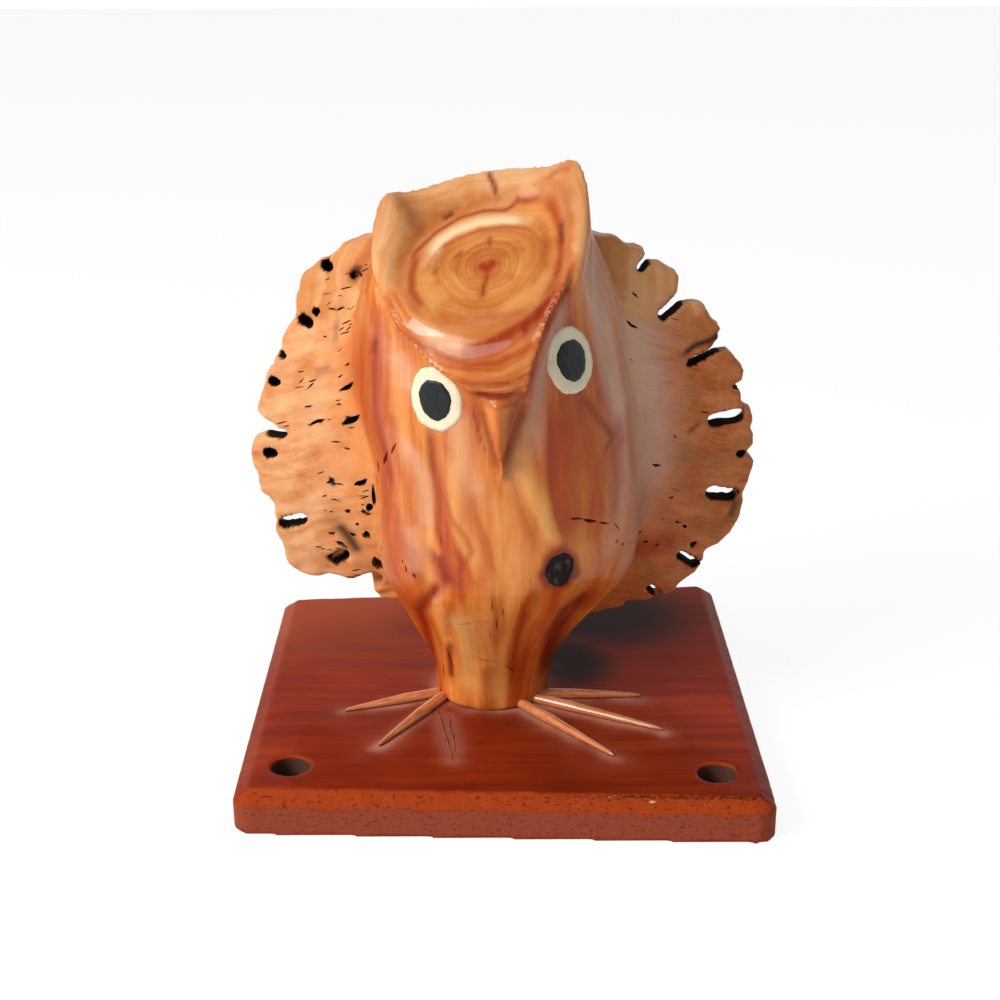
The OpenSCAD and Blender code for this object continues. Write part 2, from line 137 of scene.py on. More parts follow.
class Finish:  # one material, or the world, and its nodes
    def __init__(self, name, world=None):
        self.material = world or bpy.data.materials.new(name)
        self.material.use_nodes = True
        self.tree = self.material.node_tree
        self.tree.nodes.clear()

    def node(self, kind, settings=None, values=None, out=0):
        n = self.tree.nodes.new(kind)
        for key, value in (settings or {}).items():
            if key == "stops":
                ramp = n.color_ramp
                for i, (at, colour) in enumerate(value):
                    stop = ramp.elements[i] if i < 2 else ramp.elements.new(at)
                    stop.position, stop.color = at, (*colour, 1.0)
            else:
                setattr(n, key, value)
        for key, value in (values or {}).items():
            if isinstance(value, Wire):
                self.tree.links.new(value.socket, n.inputs[key])
            elif isinstance(value, tuple) and len(value) == 3 and n.inputs[key].type == "RGBA":
                n.inputs[key].default_value = (*value, 1.0)
            else:
                n.inputs[key].default_value = value
        return Wire(self, n.outputs[out]) if n.outputs else n

    def place(self):  # Object coordinates in millimetres
        at = self.node("ShaderNodeTexCoord", out="Object")
        return self.node("ShaderNodeVectorMath", {"operation": "SCALE"}, {0: at, "Scale": 1 / mm})

    def parts(self, vector):
        split = self.node("ShaderNodeSeparateXYZ", values={0: vector})
        return [Wire(self, o) for o in split.socket.node.outputs]

    def join(self, x=0.0, y=0.0, z=0.0):
        return self.node("ShaderNodeCombineXYZ", values={0: x, 1: y, 2: z})

    def stretch(self, vector, scale, turn=(0.0, 0.0, 0.0), shift=(0.0, 0.0, 0.0)):
        return self.node("ShaderNodeMapping", values={
            "Vector": vector, "Scale": scale, "Rotation": turn, "Location": shift})

    def noise(self, vector, scale=1.0, detail=3.0, rough=0.5):
        return self.node("ShaderNodeTexNoise", values={
            "Vector": vector, "Scale": scale, "Detail": detail, "Roughness": rough})

    def shift(self, vector, amount, scale, seed=0.0):  # moves a vector by a soft noise
        moved = self.node("ShaderNodeTexNoise", values={
            "Vector": self.stretch(vector, (1, 1, 1), shift=(seed, seed, seed)),
            "Scale": scale, "Detail": 2.0}, out="Color")
        centred = self.node("ShaderNodeVectorMath", {"operation": "SUBTRACT"},
                            {0: moved, 1: (0.5, 0.5, 0.5)})
        way = self.node("ShaderNodeVectorMath", {"operation": "SCALE"},
                        {0: centred, "Scale": amount})
        return self.node("ShaderNodeVectorMath", {"operation": "ADD"}, {0: vector, 1: way})

    def step(self, value, low, high, toLow=0.0, toHigh=1.0):  # a smooth step
        return self.node("ShaderNodeMapRange", {"interpolation_type": "SMOOTHSTEP"}, {
            "Value": value, "From Min": low, "From Max": high, "To Min": toLow, "To Max": toHigh})

    def ramp(self, value, *stops):
        return self.node("ShaderNodeValToRGB", {"stops": stops}, {0: value})

    def mix(self, share, a, b, how="MIX"):
        n = self.tree.nodes.new("ShaderNodeMix")
        n.data_type, n.blend_type = "RGBA", how
        for key, value in ((0, share), (6, a), (7, b)):
            if isinstance(value, Wire):
                self.tree.links.new(value.socket, n.inputs[key])
            else:
                n.inputs[key].default_value = (*value, 1.0) if isinstance(value, tuple) else value
        return Wire(self, n.outputs[2])

    def mark(self, name):  # a value stored on the mesh
        return self.node("ShaderNodeAttribute", {"attribute_name": name}, out="Fac")

    def raised(self, height, distance, strength=1.0, under=None):
        values = {"Height": height, "Distance": distance * mm, "Strength": strength}
        if under is not None:
            values["Normal"] = under
        return self.node("ShaderNodeBump", values=values)

    def surface(self, colour, normal=None, **sockets):
        values = {"Base Color": colour}
        values.update({key.replace("_", " "): value for key, value in sockets.items()})
        if normal is not None:
            values["Normal"] = normal
        shader = self.node("ShaderNodeBsdfPrincipled", values=values)
        self.node("ShaderNodeOutputMaterial", values={"Surface": shader})
        return self.material


room = {"floorZ": -0.0002, "floorSize": 6.0, "white": 0.96, "glow": 1.06, "sky": 0.17, "front": 0.35,
        "keyPower": 30.0, "keySize": 0.7, "keyPlace": (-1.25, -0.8, 1.12),
        "fillPower": 1.6, "fillSize": 1.4, "fillPlace": (0.9, -1.1, 0.6),
        "topPower": 3.8, "topSize": 0.42, "topPlace": (-0.40, -0.36, 1.4),
        "aim": (0, 0, 0.09), "floorGlow": 0.86, "frontEnds": (-0.5, 0.1)}


def seesRoom(finish):  # 1 for the rays that should see a white room
    path = finish.tree.nodes.new("ShaderNodeLightPath")
    seen = Wire(finish, path.outputs["Is Camera Ray"])
    for name in ("Is Glossy Ray", "Is Transmission Ray"):
        seen = finish.node("ShaderNodeMath", {"operation": "MAXIMUM"},
                           {0: seen, 1: Wire(finish, path.outputs[name])})
    return seen


def makeRoom(r):
    scene = bpy.context.scene
    scene.view_settings.view_transform = "Standard"
    world = bpy.data.worlds.new("room")
    scene.world = world
    sky = Finish("room", world)
    way = sky.parts(sky.node("ShaderNodeTexCoord", out="Generated"))[1]
    share = sky.step(way, *r["frontEnds"], r["front"], 1.0)  # dimmer where the photographer stands
    strength = seesRoom(sky) * (share - r["sky"]) + r["sky"]
    back = sky.node("ShaderNodeBackground", values={"Color": (1.0, 1.0, 1.0),
                                                    "Strength": strength})
    sky.node("ShaderNodeOutputWorld", values={"Surface": back})
    half = r["floorSize"] / 2
    mesh = bpy.data.meshes.new("floor")
    mesh.from_pydata([(-half, -half, r["floorZ"]), (half, -half, r["floorZ"]),
                      (half, half, r["floorZ"]), (-half, half, r["floorZ"])], [], [(0, 1, 2, 3)])
    floor = bpy.data.objects.new("floor", mesh)
    scene.collection.objects.link(floor)
    pale = Finish("paleFloor")
    flat = pale.node("ShaderNodeBsdfDiffuse", values={"Color": (r["white"],) * 3})
    glow = pale.node("ShaderNodeEmission", values={"Color": (1.0, 1.0, 1.0), "Strength": r["glow"]})
    share = seesRoom(pale) * r["floorGlow"]
    both = pale.node("ShaderNodeMixShader", values={0: share, 1: flat, 2: glow})
    pale.node("ShaderNodeOutputMaterial", values={"Surface": both})
    mesh.materials.append(pale.material)
    for name in ("key", "fill", "top"):
        data = bpy.data.lights.new(name, "AREA")
        data.energy, data.size = r[name + "Power"], r[name + "Size"]
        lamp = bpy.data.objects.new(name, data)
        scene.collection.objects.link(lamp)
        place = Vector(r[name + "Place"])
        lamp.matrix_world = Matrix.Translation(place) @ \
            (Vector(r["aim"]) - place).to_track_quat("-Z", "Y").to_matrix().to_4x4()


makeRoom(room)
print("the room is lit")


def plainCopy(node, name):
    # the CAD node's mesh as one joined skin, on a new object
    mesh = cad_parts[node].data.copy()
    mesh.materials.clear()
    piece = bpy.data.objects.new(name, mesh)
    bpy.context.scene.collection.objects.link(piece)
    weld = piece.modifiers.new("weld", "WELD")
    weld.merge_threshold = weldWithin
    return applied(piece)


def applied(piece):
    # the same object with its modifiers made part of its mesh
    graph = bpy.context.evaluated_depsgraph_get()
    mesh = bpy.data.meshes.new_from_object(piece.evaluated_get(graph))
    piece.modifiers.clear()
    old = piece.data
    piece.data = mesh
    mesh.name = piece.name
    if old.users == 0:
        bpy.data.meshes.remove(old)
    return piece


def remeshed(piece, voxel):
    skin = piece.modifiers.new("skin", "REMESH")
    skin.mode, skin.voxel_size, skin.adaptivity = "VOXEL", voxel * mm, 0.0
    return applied(piece)


def placesOf(mesh):
    flat = np.zeros(len(mesh.vertices) * 3)
    mesh.vertices.foreach_get("co", flat)
    return flat.reshape(-1, 3) / mm


def normalsOf(mesh):
    flat = np.zeros(len(mesh.vertices) * 3)
    mesh.vertex_normals.foreach_get("vector", flat)
    return flat.reshape(-1, 3)


def setPlaces(mesh, places):
    mesh.vertices.foreach_set("co", (places * mm).ravel())
    mesh.update()


def smoothed(mesh, rounds, pull=0.55, push=-0.58, hold=None):
    # rounds of smoothing in and out, which takes steps off and keeps the volume
    places = placesOf(mesh)
    flat = np.zeros(len(mesh.edges) * 2, np.int64)
    mesh.edges.foreach_get("vertices", flat)
    ends = flat.reshape(-1, 2)
    count = len(places)
    ties = np.bincount(ends.ravel(), minlength=count).clip(1)[:, None]
    free = 1.0 if hold is None else (1 - hold)[:, None]
    for share in [pull, push] * rounds:
        total = np.stack([np.bincount(ends[:, 0], places[ends[:, 1], k], count)
                          + np.bincount(ends[:, 1], places[ends[:, 0], k], count)
                          for k in range(3)], 1)
        places = places + (total / ties - places) * share * free
    setPlaces(mesh, places)


def ease(t):
    t = np.clip(t, 0, 1)
    return t * t * (3 - 2 * t)


def lumps(places, size, seed):
    # smooth heights from -1 to 1 on a grid of the given size in mm
    p = places / np.asarray(size, float)
    base = np.floor(p)
    f = ease(p - base)
    total = np.zeros(len(p))
    for corner in itertools.product((0, 1), repeat=3):
        value = np.sin((base + corner) @ np.array([127.1, 311.7, 74.7]) + seed * 17.31) * 4375.85
        weight = np.prod(np.where(np.array(corner) == 1, f, 1 - f), axis=1)
        total += (2 * (value - np.floor(value)) - 1) * weight
    return total


def fromPath(places, path):
    # distance of flat places from a path, how far along it they lie from 0 to 1, and the same
    # distance with its sign, above 0 on the left of the path
    path = np.array(path, float)
    legs = np.diff(path, axis=0)
    lengths = np.linalg.norm(legs, axis=1)
    before = np.concatenate([[0], np.cumsum(lengths)])
    best = np.full(len(places), 1e9)
    along, side = np.zeros(len(places)), np.zeros(len(places))
    for start, leg, length, done in zip(path, legs, lengths, before):
        t = np.clip((places - start) @ leg / max(length * length, 1e-9), 0, 1)
        away = np.linalg.norm(places - start - t[:, None] * leg, axis=1)
        nearer = away < best
        best = np.where(nearer, away, best)
        along = np.where(nearer, (done + t * length) / before[-1], along)
        square = (leg[0] * (places[:, 1] - start[1]) - leg[1] * (places[:, 0] - start[0])) / length
        side = np.where(nearer, square, side)
    return best, along, side


def store(mesh, name, values):
    layer = mesh.attributes.new(name, "FLOAT", "POINT")
    layer.data.foreach_set("value", np.asarray(values, np.float32))


def shadeSmooth(mesh):
    mesh.polygons.foreach_set("use_smooth", [True] * len(mesh.polygons))
    mesh.update()


def treeOf(piece):
    mesh = piece.data
    mesh.calc_loop_triangles()
    places = [v.co.copy() for v in mesh.vertices]
    return BVHTree.FromPolygons(places, [tuple(t.vertices) for t in mesh.loop_triangles])


def dressed(piece, finish, slot, *nodes):
    piece.data.materials.clear()
    piece.data.materials.append(finish)
    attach(piece, "root")
    if nodes:
        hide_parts(*nodes)
    return piece


owl = {
    "voxel": 0.89, "smoothing": 7, "valleyRounds": 18, "crownRounds": 16,
    "trunkSway": 0.45, "trunkFlute": 0.4, "wingLumps": 0.5, "wingGrain": 0.22, "ringDepth": 0.012,
    "browStep": 1.3, "pith": (-3.6, -14.1), "cutWay": (-0.18, -0.7, 1.0), "faceReach": 21.3,
    "faceWindow": 51, "faceRound": 20, "ringWaves": 70, "sharpAngle": 50, "wingFrom": 22,
    "wingTop": 146, "cutFrom": 122, "cutterPasses": 3, "rimRounds": 3,
}
beak = {"left": (-6.2, -37.0, 112.5), "right": (6.4, -37.0, 113.0), "tip": (0.0, -36.8, 89.0),
        "ridgeTop": (-1.0, -43.0, 110.5), "ridgeTip": (-0.1, -39.5, 91.6), "root": -30.0}
# Where the trunk meets its wings: height, left, right.
trunkEdges = [(45, -32, 30), (57, -34, 35), (68, -35.5, 39), (83, -36.5, 42), (97, -41, 41.5),
              (104, -43.5, 40.5), (113, -43.5, 38.5), (125, -41.5, 35.5), (139, -39, 32), (150, -40, 31),
              (170, -40, 31)]

# Marks on the front, by place across and height: path, half widths left and right of it, depth
# in mm, then how far the wood turns red, pale and dark along it, and the painted sheen: a pinkish reflection.
marks = {
    "sheen left of the groove": ([(-27.4, 99), (-24, 94.5), (-21, 88), (-20.6, 80), (-20.4, 72)],
                                 (3.4, 1.6), 0, 0, 0, 0, 0.6),
    "sheen below it": ([(-26, 74), (-24.5, 66), (-25, 58)], (3, 3), 0, 0, 0, 0, 0.5),
    "groove beside the left eye": ([(-20.2, 104.6), (-19.3, 93), (-17.8, 83), (-18, 73), (-15.7, 64.5)],
                                   (1.1, 2.6), 1.0, 0.9, 0, 0, 0),
    "dark blotch over the leg": ([(-17, 64), (-15.4, 59.7)], (3.2, 2.4), 0.7, 1, 0, 0.2, 0),
    "groove down the leg": ([(-15.6, 60), (-21, 50), (-23.4, 43), (-22.5, 37), (-21, 28), (-19.5, 15)],
                            (2.2, 1.6), 0.9, 0.95, 0, 0.1, 0),
    "pale of the belly": ([(-14.4, 98), (-14.6, 88), (-13.8, 78), (-11, 70), (-7, 63)],
                          (1.2, 5), 0, 0, 0.75, 0, 0),
    "flame on the belly": ([(-16, 85), (-13.9, 77.6), (-9.6, 73), (-8.3, 69), (-11.5, 62)],
                           (1.6, 0.8), 0.2, 0.6, 0, 0, 0),
    "second flame": ([(-8.5, 92), (-7.2, 80), (-3.5, 70), (-1.5, 60)], (2.6, 0.7), 0, 0.4, 0, 0, 0),
    "pale band right of the beak": ([(3.3, 103), (5.5, 92), (8.8, 83), (13, 73.5), (17, 69)],
                                    (1.1, 3.2), -0.35, 0, 0.9, 0, 0),
    "line left of it": ([(1.5, 98), (3.6, 88), (6.4, 79), (10, 71)], (2.2, 0.6), 0, 0.45, 0, 0, 0),
    "orange stripe on the right": ([(12.9, 110), (12.9, 98), (13.4, 89), (14.8, 79), (18, 70)],
                                   (0.7, 11), 0.2, 0.8, 0, 0, 0),
    "red line at its edge": ([(13.4, 112), (13.2, 100), (13.8, 88), (15.6, 77)],
                             (0.6, 1.4), 0.2, 0.5, 0, 0.12, 0),
    "fork on the flank": ([(21.5, 112), (27.3, 103), (31, 97.5), (28.5, 93.2)],
                          (1.2, 1.2), 0.3, 0.7, 0, 0.3, 0),
    "flank below the fork": ([(31, 97), (32.5, 85), (32, 74)], (1.6, 1.2), 0.2, 0.5, 0, 0.12, 0),
    "lilac sheen on the flank": ([(36, 98), (36, 84), (33.5, 72), (29, 62)], (3.5, 3), 0, 0, 0, 0, 0.35),
    "dark behind the sheen": ([(41, 104), (42.5, 88), (41, 72), (36, 58)], (4, 3), 0, 0.5, 0, 0.15, 0),
    "orange under the knot": ([(24, 60), (21, 54), (18, 50)], (3, 3), 0, 0.45, 0, 0, 0),
    "red of the lower lobe": ([(36, 56), (44, 53), (54, 55)], (4, 4), 0, 0.75, 0, 0, 0),
    "sheen right of the right eye": ([(23.5, 150), (25.5, 138), (28.5, 124), (31.5, 110), (34, 98)],
                                     (2.5, 5), 0, 0, 0, 0, 0.9),
    # painted reflection: a pale lilac sheen lightening the hollow where the trunk meets the right wing
    "pale hollow along the right wing": ([(30, 152), (35, 138), (38, 120), (41, 102), (43, 86), (41, 70)],
                                         (6, 8), 0, 0, 0, 0, 0.85),
    "pale panel over it": ([(-16.5, 45), (-13, 43.5), (-7, 43)], (4, 4), 0, 0, 0.9, 0, 0.15),
    "sheen beside the brow": ([(17.5, 138), (13.5, 128), (10, 117), (8.5, 106), (9, 97)],
                              (1.4, 2.6), 0.3, 0, 0, 0.08, 0.6),
    "valley behind the right eye": ([(25.5, 148), (27.6, 128), (31, 108)], (2, 2), 0.6, 0.1, 0, 0.1, 0),
    # painted reflection over the left eye, with a little paler wood
    "cheek over the left eye": ([(-29.3, 123), (-26.5, 118), (-25.5, 112)], (4, 3), 0, 0, 0.1, 0, 0.6),
    # paler wood, with a painted reflection over it
    "cheek left of the beak": ([(-12.5, 110), (-11.5, 102), (-10, 92), (-6, 84)],
                               (4, 3.4), 0, 0, 0.5, 0, 0.4),
    "right of the beak": ([(6.5, 108), (5.4, 101), (3, 94), (2, 88)], (1.2, 2.4), 0, 0, 0.6, 0, 0.2),
    "flank column": ([(-38, 134), (-39, 120), (-39.5, 108), (-37, 98)], (3, 3), 0, 0.35, 0, 0, 0),
    "line in the column": ([(-34.5, 132), (-35.3, 118), (-35.5, 104), (-32.5, 90), (-30.5, 78)],
                           (0.9, 1.6), 0.35, 0.8, 0, 0, 0),
    "red below the left eye": ([(-30.5, 106), (-29.5, 94), (-27.5, 84)], (1.6, 1.6), 0.25, 0.5, 0, 0, 0),
    "band down to the leg": ([(-31, 80), (-28, 68), (-24.5, 60), (-22, 53)], (2, 1.5), 0, 0.55, 0, 0, 0),
    "sweep right of the leg": ([(27, 55), (18, 48), (14.5, 38), (13.3, 28), (13, 17)],
                               (2.4, 5), 0.6, 1.0, 0, 0.42, 0),
    "sweep from the knot": ([(10.6, 60), (6, 52), (4, 42), (3.2, 30), (2.8, 18)],
                            (1, 4.5), 0.2, 0.75, 0, 0, 0),
    "gash in the leg": ([(-15, 34.5), (-15.4, 28), (-14.9, 19.6)], (1.1, 1.1), 0.7, 0.95, 0, 0.25, 0),
    "left of the leg": ([(-19, 38), (-18.2, 28), (-17.5, 18)], (1.6, 1.6), 0, 0.35, 0.25, 0, 0),
    "pale panel of the leg": ([(-12, 50), (-10.8, 33), (-10.3, 16)], (2.6, 5.4), -0.3, 0, 1.0, 0, 0),
    "lower panel": ([(-4, 34), (-2, 22), (-1, 15)], (3.5, 3.5), 0, 0, 0.6, 0, 0),
    "red of the beak": ([(3, 112), (2.4, 104), (0.6, 94)], (1.4, 2), 0, 0.7, 0, 0.1, 0),
    "worm lines up the leg": ([(-2.8, 58), (-1.6, 47), (-1.9, 33)], (0.9, 1.2), 0.15, 0.45, 0, 0.15, 0),
    "more worm lines": ([(-0.4, 57), (0.2, 46), (-0.4, 36)], (0.6, 0.8), 0.1, 0.4, 0, 0.12, 0),
    "corner of the foot": ([(-5.9, 30), (-5.9, 19), (-6, 12)], (1.6, 2.4), -0.9, 0.1, 0.1, 0, 0),
    "left side of the leg's panel": ([(-14.2, 50), (-15.5, 38)], (1.5, 1.5), 0.4, 0.3, 0, 0, 0),
    "dark band over the beak": ([(-7.5, 116.2), (-3.2, 115.2), (1.6, 115.1), (6.3, 116.4)],
                                (0.8, 1.6), 0.35, 1.0, 0, 0.25, 0),
    "line over that band": ([(-10.5, 119.4), (-4, 118.6), (3, 118.8), (7.4, 120.5)],
                            (0.5, 0.9), 0.1, 0.6, 0, 0.05, 0),
    "red band under the lip": ([(-13, 125.6), (-8.5, 126.8), (-3.1, 128.6), (2.2, 130.7), (7.6, 133.4),
                                (11.7, 136.6), (15.3, 141)], (1.2, 3), 0.15, 1.0, 0, 0.06, 0),
    "under that band": ([(-12, 122.5), (-3, 124), (6, 127), (11, 132)], (2.5, 3), 0, 0.35, 0, 0, 0),
    # painted highlight on the lip's rounded edge
    "pinkish patch on the lip": ([(-21, 130.6), (-16.5, 128.9), (-9.5, 127.9)],
                                 (1.8, 3.0), 0, 0, 0, 0, 0.9),
    "left edge of the beak": ([(-5.6, 111), (-3.4, 102), (-0.8, 93)], (1.1, 0.6), 0.55, 0.5, 0, 0.45, 0),
    "right edge of the beak": ([(6.3, 111), (3, 102), (0, 92.5)], (0.6, 1.3), 0.6, 0.3, 0, 0.5, 0),
    "grain left of the beak": ([(-8.1, 111), (-6.5, 104), (-4.3, 97)], (0.4, 0.4), 0.12, 0.3, 0, 0.5, 0),
    "red spot in the column": ([(-35, 123), (-35.4, 120.4)], (1, 0.8), 0.3, 0.6, 0, 0.5, 0),
    "purple patch of the left wing": ([(-47.5, 124.5), (-48, 119)], (1, 1), 0.2, 0, 0, 0.45, 0.3),
    "lower purple patch": ([(-50.5, 110.6), (-53.6, 109.6)], (0.9, 0.9), 0.15, 0.2, 0, 0.4, 0.3),
    "bark patch by the notch": ([(-43, 51.5), (-46, 57), (-49.5, 61.5)], (2.2, 2.2), 0.5, 0, 0, 0.9, 0.2),
    "upper bark patch": ([(-39.6, 141.8), (-42.2, 136.2)], (1.7, 1.7), 0.4, 0.2, 0, 0.75, 0.2),
    "small bark patch": ([(-49.2, 141), (-49.4, 139.6)], (1, 1), 0.3, 0, 0, 0.6, 0.3),
    "mark on the right wing": ([(58.2, 92), (56, 90.6)], (0.7, 0.7), 0.2, 0.5, 0, 0.5, 0),
    "stain at the right rim": ([(72, 63), (71, 60)], (1.6, 1.6), 0, 0, 0, 0.7, 0),
    "band on the right wing": ([(53, 113.4), (57, 115.6), (62, 116.4), (67, 119)],
                               (0.9, 1.1), 0.7, 0, 0, 0.95, 0),
}

# Holes cut with sharp edges: place across and height, length, width, turn from level, depth.
slits = {
    "left wing": [(-44.4, 106.2, 6.4, 1.5, 26, 4), (-43.6, 96.5, 7.4, 2.2, 32, 4),
                  (-54.2, 94.2, 7, 1.0, 19, 3), (-41.2, 77.5, 5.6, 1.9, 33, 4),
                  (-40.2, 67.5, 3.6, 1.6, 5, 3), (-45.9, 66.8, 2.3, 1.2, 25, 3),
                  (-40.5, 59.4, 2.9, 2.4, 30, 4), (-44.8, 58.4, 2.6, 1.2, 10, 3),
                  (-43.2, 62.7, 1.6, 0.8, 20, 2), (-37.4, 48.6, 4.2, 5.4, 8, 6),
                  (-48.6, 54, 4, 1.8, -20, 4), (-51.5, 57.5, 2.6, 0.8, 20, 2),
                  (-46.5, 127.4, 2.6, 0.6, 10, 2), (-49.2, 127.2, 2, 0.5, 8, 2),
                  (-44.4, 112.5, 1.8, 0.6, 25, 2), (-46.7, 108.8, 2, 0.5, 20, 2),
                  (-56, 104.6, 4.4, 0.45, 35, 2), (-58.8, 105.6, 2.6, 0.4, 35, 2),
                  (-56.6, 98.6, 2.8, 0.5, 15, 2), (-48.5, 89, 3.6, 0.5, 8, 2),
                  (-45.2, 87.4, 2.2, 0.5, 5, 2), (-48.1, 75.6, 3.6, 0.45, 10, 2),
                  (-50.4, 76.4, 2, 0.5, 15, 2), (-49.7, 69.9, 3.2, 0.4, 12, 2),
                  (-53.8, 126, 2.6, 2.6, 0, 3), (-47.2, 100.6, 1.6, 0.5, 20, 2)],
    "crack beside the wing": [(-30.4, 94.2, 5.4, 1.0, 46, 2.5), (-33, 90, 6, 1.3, 55, 3),
                              (-35.4, 85.6, 4, 1.5, 72, 3), (-36.2, 80.2, 5.4, 1.4, 82, 3),
                              (-37.4, 74, 7.6, 2.2, 66, 4), (-39, 69.6, 3.4, 2, 40, 4),
                              (-35.6, 64, 2.6, 0.8, 80, 3), (-35.2, 60.4, 2, 0.8, 84, 3)],
    "leg": [(-15.5, 42.2, 4.4, 0.4, 12, 1), (-10.9, 44.2, 6, 0.4, 32, 1),
            (-5.8, 46, 5.2, 0.35, 6, 1), (-9.8, 30.9, 4.6, 0.45, 6, 1),
            (-4.3, 30, 7, 0.45, -18, 1), (2.2, 26.4, 5, 0.5, -50, 1),
            (-15.2, 27.5, 12.5, 0.6, 86, 1.4), (-2.9, 52, 5, 0.35, 88, 0.9),
            (-1.6, 45, 6, 0.35, 94, 0.9), (-3.4, 40, 3.4, 0.3, 84, 0.9),
            (0.2, 50, 3.6, 0.3, 92, 0.9), (-17.4, 22, 5, 0.4, 80, 1), (9, 30, 5, 0.3, 70, 0.9)],
    "belly": [(-27.4, 59.1, 0.9, 2.2, 12, 1.6), (-25, 57.6, 1, 1.8, 20, 1.4), (-28.4, 61.2, 0.6, 1.4, 0, 1)],
    "crack in the belly": [(20.6, 77.4, 4.6, 0.7, -8, 2), (24.6, 76, 5.4, 1.1, -16, 2.5),
                           (28.6, 74.4, 4, 0.7, -10, 2), (32.6, 72.2, 4, 0.7, -42, 2),
                           (34.6, 66, 1.6, 0.8, -20, 2), (37, 65, 1.8, 0.7, 30, 2),
                           (32.6, 67.8, 1.4, 0.7, 20, 2), (41.4, 59.6, 2.2, 0.8, -10, 2)],
    "right wing": [(37.8, 123.6, 4.4, 0.9, -30, 3), (38.8, 131.6, 2.4, 0.5, -35, 2),
                   (45.7, 81.9, 3, 0.9, -20, 3), (50.9, 70.1, 1.8, 0.6, -15, 2),
                   (37.5, 114.4, 1.8, 0.5, -10, 2), (51.3, 89.9, 1.8, 0.4, -30, 2),
                   (56.1, 58.4, 2.2, 1.1, -40, 2), (53.4, 60.8, 1.2, 0.6, -30, 2),
                   (43.8, 55.6, 2.2, 0.8, -10, 2), (47.4, 53.6, 1.6, 0.7, 10, 2)],
}
knot = {"size": (8.6, 10.2), "halo": 2.8, "lean": -8, "thick": 0.1, "seed": 5, "ragged": 0.07,
        "colours": ((0.012, 0.007, 0.008), (0.026, 0.015, 0.014), (0.05, 0.026, 0.02))}

# Marks on the slanted cut, by place across and forward, as above.
headMarks = {
    "pith": ([(-6.2, -12.4), (-3.8, -14.8), (-1.2, -12)], (2.3, 2.3), 0.15, 1.0, 0, 0.05, 0),
    "crack from the pith": ([(-3.6, -16), (-4.7, -21), (-5.3, -24.7)], (0.7, 0.7), 0.25, 0.9, 0, 0.15, 0),
    "small crack": ([(-2.9, -7), (-2.9, -4.3)], (0.4, 0.4), 0.15, 0.2, 0, 0.5, 0),
    "flecks left of the pith": ([(-12.4, -9), (-11, -7.8)], (0.4, 0.4), 0.1, 0.2, 0, 0.5, 0),
    "fleck on the left": ([(-18.4, -13.4), (-17.6, -12)], (0.35, 0.35), 0.1, 0.2, 0, 0.5, 0),
    "cream arc": ([(-19.6, -8.8), (-17, -2.7), (-12.8, 0), (-6.3, 1.6), (0.7, 1), (7, -1)],
                  (2.2, 1.3), 0, 0, 1.0, 0, 0),
    "line inside the cream": ([(-21.4, -13), (-17.6, -5.4), (-12.6, -2.4), (-5.6, -1), (2, -1.4), (9, -4)],
                              (0.5, 0.5), 0.05, 0.5, 0, 0, 0),
    "line behind the rings": ([(-26, -11), (-24, -4.5), (-18.2, 1.6), (-11.5, 5.2), (-4.4, 6.2),
                               (1.3, 5), (4.8, 6.6), (8.4, 5.2), (13.9, 2.4)],
                              (0.5, 1.0), 0.2, 0.85, 0, 0.05, 0),
    "red arc on the right": ([(11.5, 4), (14.6, -1), (16.4, -7), (16.4, -14), (14.8, -22), (10.6, -29)],
                             (1.0, 2.2), 0.15, 0.75, 0, 0, 0),
    "second arc on the right": ([(10.2, -1), (12.4, -8), (11.6, -17), (7, -25)], (0.6, 1.3), 0, 0.4, 0, 0, 0),
    "dark spot on the arc": ([(16.9, -6.4), (16.9, -10)], (0.8, 0.8), 0.2, 0.5, 0, 0.6, 0),
    "red arc on the left": ([(-23, -5.5), (-24.6, -12), (-24.4, -18), (-21, -25)],
                            (1.6, 1.2), 0.1, 0.8, 0, 0.05, 0),
    "red under the rings": ([(-18, -27.4), (-8, -31), (2, -31.4), (8, -30)], (1.2, 2), 0, 0.45, 0, 0, 0),
    "streak in the crest": ([(-3.2, 15.4), (-2.6, 12.6), (-0.9, 8.4)], (0.8, 0.7), 0.2, 0.9, 0, 0.35, 0),
    "spot left of the rings": ([(-15.6, 5.6), (-14, 6.4)], (0.6, 0.6), 0.2, 0.2, 0, 0.75, 0),
    "spot on the crest": ([(12.5, 14.2), (14.9, 13.6)], (0.6, 0.6), 0.2, 0.3, 0, 0.6, 0.2),
    # painted shade in the hollow beside the left ear, which is also carved a little deeper
    "grey hollow by the left ear": ([(-29.5, 7), (-25.6, 3), (-21, 1)], (2.6, 2), 0.3, 0.1, 0, 0.22, 0),
    "shade in the right ear": ([(20, 3), (17, 5.4), (13, 6)], (1.2, 2), 0.1, 0.5, 0, 0, 0),
}
# The ringed face's outline round the pith: angle from +X, radius.
faceOutline = [(-180, 22), (-162, 23.4), (-139, 21), (-117, 19.5), (-90, 20.4), (-66, 21.2),
               (-45, 21.2), (-24, 20.9), (-12, 20.6), (13, 21.2), (27, 22.6), (43, 24.2), (59, 23.2),
               (76, 20.2), (92, 21.3), (112, 21.2), (134, 21), (155, 22.6), (173, 22.2), (180, 22)]
# The lip in front of the ringed face and the brow's edges, by place across and height.
lipLine = [(-25.4, 136.5), (-24, 134.8), (-19.3, 131.7), (-13.8, 130.2), (-8.5, 129.4), (-3.1, 130),
           (2.2, 132.2), (7.6, 135), (12.5, 139), (15.9, 143.5)]
browLeft = [(-5.3, 112.5), (-8.6, 116.6), (-16.7, 121.2), (-20.7, 124.2), (-27.7, 129.2),
            (-34, 139), (-40, 149)]
browRight = [(6, 112.8), (7.5, 121.4), (9.2, 126.3), (12.5, 133.5), (17.4, 140.5), (23, 150.5)]


